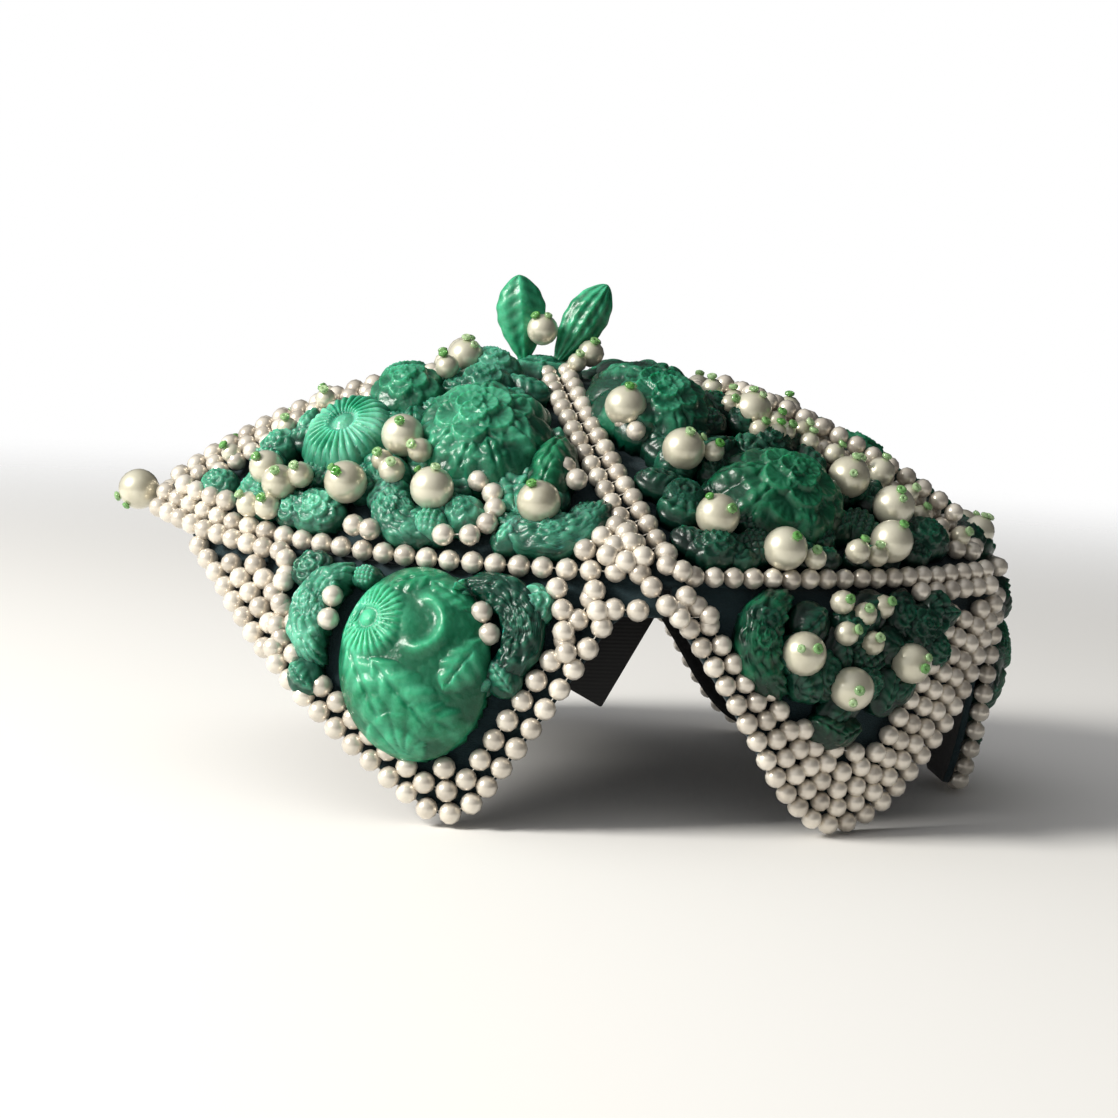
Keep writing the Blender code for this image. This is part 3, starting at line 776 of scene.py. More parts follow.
# Cloth
@dataclass
class FeltWork:
    """The felt crown and petals, with their thickness and their lining."""

    thickness: float = 2.0
    petal_thickness: float = 1.5
    lift: float = -2.3
    crown_end: float = 1.003
    columns: int = 14
    rows: int = 26
    petal_columns: int = 48
    petal_rows: int = 18
    overhang: float = 0.3
    petal_top: float = 0.9
    shortest: float = 1.2
    weld: float = 0.05
    nearly_nothing: float = 1e-3

    def sheet(self, name: str, columns: int, rows: int, place: Any, nodes: tuple, thickness: float) -> None:
        """Adds a lined sheet of felt.

        Args:
            name: the piece's name.
            columns: faces across.
            rows: faces down.
            place: gives the points from two arrays that run from 0 to 1.
            nodes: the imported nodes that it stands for.
            thickness: of the felt with its lining.
        """
        bm = bmesh.new()
        bmesh.ops.create_grid(bm, x_segments=columns, y_segments=rows, size=0.5)
        u, v, _ = np.array([vert.co[:] for vert in bm.verts]).T + 0.5
        for vert, point in zip(bm.verts, place(u, v)):
            vert.co = point
        bmesh.ops.remove_doubles(bm, verts=bm.verts, dist=self.weld)
        bm.normal_update()
        if sum(face.normal.dot(face.calc_center_median() - Vector(FORM.inside)) for face in bm.faces) < 0:
            bmesh.ops.reverse_faces(bm, faces=bm.faces)
        made = add_piece(name, bm, FELT, nodes)
        made.data.materials.append(LINING.material())
        wall = made.modifiers.new("thickness", "SOLIDIFY")
        wall.thickness = thickness * MM
        wall.offset = -1.0
        wall.material_offset = 1

    def crown(self) -> None:
        """Adds the crown, in one piece over all five sides."""
        front_left, front_right, side_left, side_right, back = PANELS
        runs = [(front_left, 1), (side_left, 1), (back, 1), (side_right, -1), (front_right, -1)]
        last = len(runs) * self.columns

        def place(u: Array, v: Array) -> Array:
            """Points of the crown.

            Args:
                u: shares of the way round the apex.
                v: shares of the way down to the folds.

            Returns:
                One point for each pair.
            """
            station = np.round(u * last).astype(int) % last
            reach = np.maximum(v * self.crown_end, self.nearly_nothing)
            points = np.zeros((len(u), 3))
            for number, (panel, way) in enumerate(runs):
                mine = station // self.columns == number
                share = (station[mine] % self.columns) / self.columns
                share = share if way > 0 else 1 - share
                points[mine], _ = panel.spots(CROWN, share, reach[mine], self.lift)
                ridge = mine & (station % self.columns == 0)
                beside, its_way = runs[number - 1]
                other, _ = beside.spots(CROWN, 1.0 if its_way > 0 else 0.0, reach[ridge], self.lift)
                points[ridge] = (points[ridge] + other) / 2
            points[v < self.nearly_nothing] = np.array(FORM.apex) + np.array([0.0, 0.0, self.lift])
            return points

        self.sheet("felt_crown", last, self.rows, place, ("crown",), self.thickness)

    def petal(self, panel: Panel) -> None:
        """Adds one petal, from just under the fold to its pointed edge.

        Args:
            panel: the side that it hangs from.
        """
        side = panel.side
        low, high = side.seam[0] / side.length, 1 - side.seam[1] / side.length

        def place(u: Array, v: Array) -> Array:
            """Points of the petal.

            Args:
                u: shares of the way from seam to seam.
                v: shares of the way from the fold to the edge.

            Returns:
                One point for each pair.
            """
            bunched = (1 - np.cos(np.pi * u)) / 2
            share = low + (high - low) * (bunched if side is BACK else u)
            lowest = side.fold(share)[..., 2] - FORM.hem_z + self.overhang
            below = np.clip(side.edge(share, -self.overhang), self.petal_top + self.shortest, lowest)
            drop = self.petal_top + (below - self.petal_top) * v
            return panel.spots(PETAL, share, drop, self.lift)[0]

        name = f"petal_{panel.label}"
        self.sheet(f"felt_{name}", self.petal_columns, self.petal_rows, place, (name,), self.petal_thickness)


# Pearls
@dataclass(frozen=True)
class Bead:
    """A round bead: where its middle is, how big it is, and which way its hole points."""

    centre: tuple
    size: float
    axis: tuple


def strung(path: Array, pitch: float, phase: float = 0.5) -> Array:
    """Points at even steps close to a pitch along a path.

    Args:
        path: points of the path.
        pitch: distance wanted between two beads.
        phase: share of a step before the first bead.

    Returns:
        The beads' middles.
    """
    run = np.concatenate([[0.0], np.cumsum(np.linalg.norm(np.diff(path, axis=0), axis=1))])
    count = max(1, round(run[-1] / pitch))
    at = (np.arange(count) + phase) * run[-1] / count
    return np.stack([np.interp(at, run, path[:, axis]) for axis in range(3)], -1)


def stretches(kept: Array, shortest: int) -> list[slice]:
    """The runs of True in an array that are longer than the shortest, as slices."""
    marks = np.flatnonzero(np.diff(np.concatenate([[0], kept.astype(int), [0]])))
    return [slice(first, last) for first, last in zip(marks[::2], marks[1::2]) if last - first > shortest]


@dataclass(frozen=True)
class Sprig:
    """A loose string of small pearls: where each one lies."""

    where: Where
    lift: float
    spots: tuple


SPRIGS = {
    "front": (
        Sprig(
            CROWN, 3.6,
            ((0.688, 0.757), (0.723, 0.795), (0.730, 0.848), (0.718, 0.900), (0.688, 0.944), (0.642, 0.952)),
        ),
        Sprig(CROWN, 2.6, ((0.470, 0.952), (0.503, 0.957))),
        Sprig(CROWN, 2.2, ((0.075, 0.972), (0.112, 0.972), (0.150, 0.970), (0.188, 0.968))),
        Sprig(CROWN, 2.2, ((0.965, 0.890), (0.972, 0.965), (0.940, 0.985))),
        Sprig(CROWN, 3.0, ((0.895, 0.657), (0.912, 0.705))),
        Sprig(CROWN, 2.0, ((0.882, 0.952), (0.920, 0.905), (0.956, 0.862))),
        Sprig(CROWN, 2.6, ((0.915, 0.972), (0.934, 0.940), (0.962, 0.925))),
        Sprig(PETAL, 1.2, ((111.4, 4.2), (112.6, 8.4), (113.2, 12.6), (113.9, 16.6))),
        Sprig(PETAL, 1.0, ((119.0, 4.2), (119.6, 8.2))), Sprig(PETAL, 1.2, ((133.3, 6.2), (130.4, 2.9))),
        Sprig(PETAL, 2.6, ((97.3, 10.3), (99.3, 14.4))), Sprig(PETAL, 2.6, ((66.6, 10.5), (67.6, 14.8))),
        Sprig(PETAL, 0.6, ((50.0, 4.4), (52.6, 8.8), (54.6, 13.2), (56.2, 17.6), (57.4, 22.0))),
    ),
    "side": (
        Sprig(CROWN, 3.0, ((0.175, 0.470), (0.185, 0.520))),
        Sprig(CROWN, 1.4, ((0.0, 0.985), (0.018, 0.945), (0.028, 1.0))),
        Sprig(PETAL, 1.0, ((3.2, 4.2), (7.6, 8.0), (1.6, 8.6))),
    ),
    "back": (),
}


@dataclass(frozen=True)
class RowPlan:
    """How the rows of small pearls lie along one kind of petal's edge."""

    size: float
    spacing_a: float
    spacing_b: float
    pitch: float
    fold_pitch: float
    limit_at: tuple
    limits: tuple
    filled_to: float = -1.0
    filled_slope: float = 0.0
    under: tuple = (0.0, 0.0)


ROW_PLANS = {
    "front": RowPlan(
        4.85, 4.15, 5.0, 5.0, 5.05, (0.0, 60.0, 66.0, 77.0, 79.0, 96.0, 97.0),
        (3.0, 3.0, 2.0, 2.0, 3.0, 3.0, 2.0), 50.5, 0.36, (3.2, 50.0),
    ),
    "side": RowPlan(
        4.6, 4.0, 4.05, 4.75, 4.6, (0.0, 19.8, 20.2, 26.0, 27.0, 34.0, 35.0, 43.0, 45.0),
        (2.0, 2.0, 3.0, 3.0, 4.0, 4.0, 5.0, 5.0, 4.0), under=(59.0, 88.0),
    ),
    "back": RowPlan(4.5, 4.2, 4.2, 4.7, 4.7, (0.0, 1.0), (2.0, 2.0)),
}


@dataclass
class PearlRows:
    """The rows of small pearls along the ridges, the folds and the petals' edges, and their thread."""

    ridge_size: float = 4.5
    ridge_pitch: float = 4.4
    line_stations: int = 200
    least: float = 0.97
    most: float = 1.02
    jitter: float = 0.1
    stations: int = 900
    smoothing: int = 20
    stretch_range: tuple = (0.8, 1.8)
    most_rows: int = 8
    row_phase: float = 0.06
    shortest_run: int = 3
    fold_clear: float = 3.8
    under_clear: float = 6.6
    under_drop: float = 3.4
    under_lift: float = 0.9
    longest_stitch: float = 9.0
    stitch_sag: float = 0.4
    thread_radius: float = 0.14
    threads: list = field(default_factory=list)
    chance: random.Random = field(default_factory=lambda: random.Random(7))

    def add(self, name: str, rows: list, size: float, nodes: tuple) -> None:
        """Adds beads along rows, as one piece.

        Args:
            name: the piece's name.
            rows: arrays of bead middles.
            size: the beads' diameter.
            nodes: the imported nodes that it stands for.
        """
        bm = bmesh.new()
        layer = bm.verts.layers.float.new("shade")
        for row in rows:
            for centre in row:
                grown = size * self.chance.uniform(self.least, self.most)
                drift = [self.chance.uniform(-self.jitter, self.jitter) for _ in range(3)]
                place = Matrix.Translation(Vector(centre) + Vector(drift))
                shade = self.chance.uniform(0.0, 1.0)
                made = bmesh.ops.create_icosphere(bm, subdivisions=2, radius=grown / 2, matrix=place)
                for vert in made["verts"]:
                    vert[layer] = shade
            if len(row) > 1:
                steps = np.linalg.norm(np.diff(row, axis=0), axis=1)
                parts = np.split(row, np.flatnonzero(steps > self.longest_stitch) + 1)
                self.threads += [part for part in parts if len(part) > 1]
        add_piece(name, bm, SMALL_PEARL, nodes)

    def border(self, panel: Panel, stones: list) -> None:
        """Adds the rows along a petal's edge, left out under the stones that are laid on them.

        Args:
            panel: the petal's side.
            stones: the stones that are laid on the rows.
        """
        side, plan = panel.side, ROW_PLANS[panel.kind]
        shares = np.linspace(0, 1, self.stations)
        run = shares * side.length
        # Where the wall leans, rows at an even drop would crowd, so their spacing follows the distance from
        # the edge to a line 1 mm inside it.
        edge, _ = panel.spots(PETAL, shares, side.edge(shares))
        inner, _ = panel.spots(PETAL, shares, np.maximum(side.edge(shares, 1.0), 0))
        gaps = np.linalg.norm(inner[:, None] - edge[None], axis=2).min(axis=1)
        stretch = np.clip(gaps, *self.stretch_range)
        window = 2 * self.smoothing + 1
        stretch = np.convolve(np.pad(stretch, self.smoothing, mode="edge"), np.ones(window) / window, "valid")
        limit = np.round(np.interp(run, plan.limit_at, plan.limits) - 0.01)
        under = (run > plan.under[0]) & (run < plan.under[1])
        clear = np.where(under, self.under_clear, self.fold_clear)
        between = (shares > side.seam[0] / side.length) & (shares < 1 - side.seam[1] / side.length)
        rim = plan.size / 2 * self.most + self.jitter - FORM.hem_z
        rows = []
        for number in range(self.most_rows):
            inset = rim + number * plan.spacing_a / stretch
            drop = side.edge(shares, inset, rim + number * plan.spacing_b / stretch)
            kept = (number < limit) | (run < plan.filled_to + plan.filled_slope * drop)
            for part in stretches(kept & (drop > clear) & between, self.shortest_run):
                path, _ = panel.spots(PETAL, shares[part], drop[part])
                row = strung(path, plan.pitch, self.row_phase + 0.5 * (number % 2))
                row = [bead for bead in row if not any(stone.covers(panel, bead) for stone in stones)]
                if row:
                    rows.append(np.array(row))
        self.add(f"edge_pearls_{panel.label}", rows, plan.size, (f"pearl_border_{panel.label}",))

    def fold(self, panel: Panel) -> None:
        """Adds the row along a fold, with the loose strings of small pearls that lie near it.

        Args:
            panel: the side.
        """
        side, plan = panel.side, ROW_PLANS[panel.kind]
        shares = np.linspace(
            side.row_clear[0] / side.length, 1 - side.row_clear[1] / side.length, self.line_stations
        )
        rows = [strung(panel.mirrored(side.fold(shares)), plan.fold_pitch)]
        if plan.under[1]:
            shares = np.linspace(*plan.under, self.line_stations // 2) / side.length
            path, _ = panel.spots(PETAL, shares, self.under_drop, self.under_lift)
            rows.append(strung(path, plan.pitch))
        for sprig in SPRIGS[panel.kind]:
            along, across = np.array(sprig.spots).T
            rows.append(panel.spots(sprig.where, panel.share(sprig.where, along), across, sprig.lift)[0])
        self.add(f"fold_row_{panel.label}", rows, plan.size, (f"fold_pearls_{panel.label}",))

    def ridge_path(self, meeting: list, reach: Array, out: float, lift: float) -> Array:
        """A line beside a ridge.

        Args:
            meeting: the two panels that meet there, each with its share of the fold.
            reach: reaches from the apex.
            out: distance to one side of the ridge.
            lift: distance above it.

        Returns:
            One point for each reach.
        """
        points, normals = zip(*[panel.spots(CROWN, share, reach) for panel, share in meeting])
        normal = unit(np.mean(normals, axis=0))
        centre = np.mean(points, axis=0)
        across = unit(np.cross(np.gradient(centre, axis=0), normal))
        sink = -abs(out) * np.sqrt(np.maximum(1 - np.sum(normal * normals[0], axis=1, keepdims=True) ** 2, 0))
        return centre + across * out + normal * (lift + sink)

    def ridge(self, label: str, meeting: list, rows: tuple, stitched: bool = False) -> None:
        """Adds the rows on a ridge.

        Args:
            label: the ridge's name.
            meeting: the two panels that meet there, each with its share of the fold.
            rows: how far each lies beside and above the ridge, and the reaches that it starts and ends at.
            stitched: whether threads cross the gap between the first two rows.
        """
        strings = []
        for out, lift, first, last in rows:
            path = self.ridge_path(meeting, np.linspace(first, last, self.line_stations), out, lift)
            strings.append(strung(path, self.ridge_pitch))
        self.add(f"ridge_rows_{label}", strings, self.ridge_size, (f"ridge_pearls_{label}",))
        if not stitched:
            return
        sag = np.array([0.0, 0.0, self.stitch_sag])
        near, far = [(string[:-1] + string[1:]) / 2 for string in strings[:2]]
        self.threads += [np.array([start, (start + end) / 2 - sag, end]) for start, end in zip(near, far)]

    def sew(self) -> None:
        """Adds the thread through all the rows."""
        curve = bpy.data.curves.new("sewing_thread", "CURVE")
        curve.dimensions = "3D"
        curve.bevel_depth = self.thread_radius * MM
        curve.bevel_resolution = 0
        for run in self.threads:
            spline = curve.splines.new("POLY")
            spline.points.add(len(run) - 1)
            for knot, point in zip(spline.points, run):
                knot.co = (*(np.asarray(point) * MM), 1.0)
        settle("sewing_thread", curve, THREAD)


# Carved glass
def ramp(value: Array, low: float, high: float) -> Array:
    """A smooth step from 0 at low to 1 at high."""
    share = np.clip((value - low) / (high - low), 0, 1)
    return share * share * (3 - 2 * share)


# The rings of a rose's petals: how many petals, how far out they lie, how big they are and how high
ROSE_RINGS = ((7, 0.66, 0.40, 0.05), (5, 0.40, 0.34, 0.36), (3, 0.17, 0.25, 0.62))


class Cut(Enum):
    """What is carved: each gives a height from about 0 to 1 over a disc of radius 1."""

    DAISY = "daisy"
    ROSE = "rose"
    LEAF = "leaf"
    FAN = "fan"
    BERRY = "berry"
    CRESCENT = "crescent"

    def height(self, u: Array, v: Array) -> Array:
        """Height of this cut.

        Args:
            u: places across its disc.
            v: places up its disc.

        Returns:
            One height for each place.
        """
        out, angle = np.hypot(u, v), np.arctan2(v, u)
        if self is Cut.DAISY:
            # Narrow rays round a small domed middle
            ray = np.abs(np.cos(angle * 14)) ** 0.6
            rays = (0.3 + 0.5 * ray) * ramp(out, 0.12, 0.36) * (1 - ramp(out, 0.72, 1.04))
            return np.maximum(rays, 0.72 - 2.6 * np.maximum(out - 0.09, 0))
        if self is Cut.ROSE:
            # Three rings of cupped petals, each ring higher than the last, round a bud
            height = -1.0 + 0 * u
            for count, far, size, base in ROSE_RINGS:
                for number in range(count):
                    turn = 2 * math.pi * number / count + 2.1 * far
                    right, up = u - far * math.cos(turn), v - far * math.sin(turn)
                    near = np.hypot(right, up) / size
                    ribs = 0.04 * near * np.cos(11 * np.arctan2(up, right))
                    cup = base + ribs + 0.34 * near**2 - 4.5 * np.maximum(near - 1, 0)
                    height = np.maximum(height, cup)
            return np.maximum(height, 0.95 - 5.0 * np.maximum(out - 0.08, 0))
        if self is Cut.LEAF:
            # A pointed leaf along u, with a groove down its middle and slanting veins
            wide = 0.55 * np.maximum(1 - u**2, 0.001) ** 0.7 * (1 - 0.25 * u)
            near = np.abs(v) / wide
            vein = 0.1 * np.cos(2 * math.pi * (u * 2.2 + near * 0.8))
            rib = 0.3 * np.exp(-((v / 0.06) ** 2))
            return 0.7 * (1 - near**2) + (vein - rib) * (near < 1) - 0.8 * np.maximum(np.abs(u) - 0.9, 0)
        if self is Cut.FAN:
            # Ribs that spread from the foot, crossed by soft arcs
            far, swing = np.hypot(u, v + 0.9) / 1.8, np.arctan2(u, v + 0.9)
            ribs = np.abs(np.cos(swing * 6)) ** 0.6
            arc = 0.18 * np.cos(far * 16)
            return (0.3 + 0.45 * ribs + arc) * (1 - ramp(far + 0.06 * ribs, 0.86, 0.98)) * (out < 1.3)
        if self is Cut.BERRY:
            # A cluster of round dots
            dots = np.cos(u * 9) * np.cos(v * 9)
            return (0.35 + 0.5 * np.abs(dots)) * (1 - ramp(out, 0.75, 1.0))
        # A curled petal: a crest that thins towards its ends, and a fold beside it
        bow = np.exp(-(((out - 0.7 + 0.12 * np.sin(angle)) / 0.2) ** 2))
        crest = bow * ramp(np.cos(angle + 0.6), -0.5, 0.5)
        fold = np.exp(-(((u + 0.35) / 0.3) ** 2 + ((v - 0.1) / 0.5) ** 2))
        return 0.8 * crest + 0.5 * fold


DAISY, ROSE, LEAF, FAN, BERRY, CRESCENT = Cut


@dataclass(frozen=True)
class Motif:
    """A cut at a place on a stone, in shares of its half width and half length, its depth and its turn."""

    cut: Cut
    x: float
    y: float
    size: float
    depth: float
    turn: float = 0.0


@dataclass(frozen=True)
class Stone:
    """A piece of carved glass: its place on a side, its size, and what is cut into it."""

    where: Where
    along: float
    across: float
    width: float
    length: float
    height: float
    motifs: tuple
    finish: Finish
    turn: float = 0.0
    bend: float = 0.0
    scallops: int = 0
    detail: int = 5
    foot: float = -2.2
    rim: float = 0.6
    roundness: float = 2.0
    tone: float = 0.0
    scallop_depth: float = 0.12
    least_wall: float = 0.6
    cap: float = math.radians(150)
    hollow: float = 0.13
    outline_steps: int = 60
    laid_over: float = 1.7

    def covers(self, panel: Panel, point: Array) -> bool:
        """Whether this stone lies over a small pearl.

        Args:
            panel: the side that the stone lies on.
            point: the pearl's middle.

        Returns:
            True where the pearl is well inside the stone's edge.
        """
        angle = np.linspace(0, 2 * math.pi, self.outline_steps)
        offsets = np.stack([np.cos(angle) * self.width / 2, np.sin(angle) * self.length / 2], -1)
        outline, _ = panel.laid_out(self.where, self.along, self.across, offsets, self.turn)
        gaps = np.linalg.norm(outline - point, axis=1)
        middle = np.mean(outline, axis=0)
        ray = outline[np.argmin(gaps)] - middle
        return gaps.min() > self.laid_over and (point - middle) @ ray < ray @ ray

    def relief(self, x: Array, y: Array) -> Array:
        """Height of the carving above the plain dome.

        Args:
            x: places across the unit disc.
            y: places up the unit disc.

        Returns:
            One height for each place.
        """
        wide, long = x * self.width / 2, y * self.length / 2
        # Between the cuts the glass has soft hollows about 4 mm apart
        height = self.hollow * np.sin(1.5 * wide + 1.2 * np.sin(0.8 * long)) * np.sin(1.4 * long + 0.7 * wide)
        for motif in self.motifs:
            cos, sin = heading(motif.turn)
            half = motif.size * min(self.width, self.length) / 2
            right = (wide - motif.x * self.width / 2) / half
            up = (long - motif.y * self.length / 2) / half
            cut = motif.cut.height(right * cos + up * sin, up * cos - right * sin)
            height = np.maximum(height, motif.depth * cut)
        return height

    def carve(self, bm: bmesh.types.BMesh, layer: Any, panel: Panel) -> None:
        """Adds the carved stone to a mesh, wrapped over the panel.

        Args:
            bm: the mesh.
            layer: the layer that keeps how high the carving is.
            panel: the side that it lies on.
        """
        made = bmesh.ops.create_icosphere(bm, subdivisions=self.detail, radius=1.0)["verts"]
        ball = np.array([vert.co[:] for vert in made])
        tilt = np.arccos(np.clip(ball[:, 2], -1, 1))
        angle = np.arctan2(ball[:, 1], ball[:, 0])
        # Most of the ball's corners go to the carved top, and the few round its foot to the flat back.
        out = np.sin(tilt / 2) / math.sin(self.cap / 2)
        top = out <= 1
        reach = np.where(top, out, (math.pi - tilt) / (math.pi - self.cap))
        if self.scallops:
            notch = 1 - np.abs(np.cos(angle * self.scallops / 2)) ** 0.7
            reach = reach * (1 - self.scallop_depth * notch * reach)
        x, y = reach * np.cos(angle), reach * np.sin(angle)
        carved = self.relief(x, y)
        dome = np.maximum(1 - np.minimum(out, 1) ** self.roundness, 0) ** 0.5
        rise = self.rim + self.height * dome + carved * (1 - 0.75 * ramp(out, 0.86, 1.0))
        rise = np.where(top, np.maximum(rise, self.foot + self.least_wall), self.foot)
        offsets = np.stack([x * self.width / 2, y * self.length / 2], -1)
        if self.bend:
            radius = self.width / 2 / self.bend
            swing = offsets[:, 0] / radius
            far = radius + offsets[:, 1]
            offsets = np.stack([far * np.sin(swing), far * np.cos(swing) - radius], -1)
        base, normal = panel.laid_out(self.where, self.along, self.across, offsets, self.turn)
        # The carving's height goes into the layer, and the glass's finish paints shade into the cuts and
        # light onto the raised parts from it.
        deepest = max(motif.depth for motif in self.motifs)
        for vert, point, up, cut_height in zip(made, base, rise, carved):
            vert.co = point + normal * up
            vert[layer] = float(np.clip(0.15 + 0.85 * cut_height / deepest + self.tone, 0, 1))


def add_stones(name: str, panel: Panel, stones: tuple, nodes: tuple) -> None:
    """Adds several stones as one piece.

    Args:
        name: the piece's name.
        panel: the side that they lie on.
        stones: the stones, all of the first one's finish.
        nodes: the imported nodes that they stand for.
    """
    bm = bmesh.new()
    layer = bm.verts.layers.float.new("relief")
    for stone in stones:
        stone.carve(bm, layer, panel)
    if panel.hand < 0:
        bmesh.ops.reverse_faces(bm, faces=bm.faces)
    if bm.calc_volume(signed=True) < 0:
        bmesh.ops.reverse_faces(bm, faces=bm.faces)
    add_piece(name, bm, stones[0].finish, nodes)


def scroll(
    where: Where, along: float, across: float, width: float, length: float, turn: float, bend: float,
    tone: float, finish: Finish = FIELD_JADE,
) -> Stone:
    """A carved scroll: a bent spray of leaves with a small rose on it.

    Args:
        where: crown or petal.
        along: share on the crown, distance along the fold on the petal.
        across: reach on the crown, drop on the petal.
        width: its length along the bend.
        length: its breadth.
        turn: degrees by which it is turned.
        bend: how far it bends, in radians on each side of its middle.
        tone: how much paler than usual it is.
        finish: its finish.

    Returns:
        The scroll.
    """
    motifs = (
        Motif(ROSE, 0.06, 0.0, 1.12, 2.0, 30.0), Motif(FAN, -0.34, 0.0, 1.0, 1.7, 75.0),
        Motif(LEAF, -0.62, 0.0, 1.25, 1.8, 190.0), Motif(LEAF, -0.86, 0.0, 1.1, 1.6, 170.0),
        Motif(FAN, 0.42, 0.0, 1.0, 1.7, -75.0), Motif(LEAF, 0.66, 0.0, 1.25, 1.8, 10.0),
        Motif(LEAF, 0.88, 0.0, 1.0, 1.6, -10.0),
    )
    return Stone(
        where, along, across, width, length, 2.6, motifs, finish, turn, bend, 16, roundness=3.0, tone=tone
    )


def bit(
    where: Where, finish: Finish, along: float, across: float, width: float, length: float, cut: Cut,
    turn: float = 0.0, scallops: int = 0, height: float = 2.8, tone: float = 0.0,
) -> Stone:
    """A small carved bit of a field, with one cut over all of it.

    Args:
        where: crown or petal.
        finish: its finish.
        along: share on the crown, distance along the fold on the petal.
        across: reach on the crown, drop on the petal.
        width: its width.
        length: its length.
        cut: what is carved.
        turn: degrees by which it is turned.
        scallops: how many lobes its edge has.
        height: how far it stands up.
        tone: how much paler than usual it is.

    Returns:
        The bit.
    """
    motif = Motif(cut, 0.0, 0.0, 1.0, 1.7, 90.0 if cut is LEAF and length > width else 0.0)
    detail = 5 if max(width, length) > 11 else 4
    return Stone(
        where, along, across, width, length, height, (motif,), finish, turn, 0.0, scallops, detail, tone=tone
    )


def bits(where: Where, finish: Finish, *rows: Any) -> tuple:
    """The bits of a field, each row a bit's values from along to tone, or a finished scroll."""
    return tuple(row if isinstance(row, Stone) else bit(where, finish, *row) for row in rows)


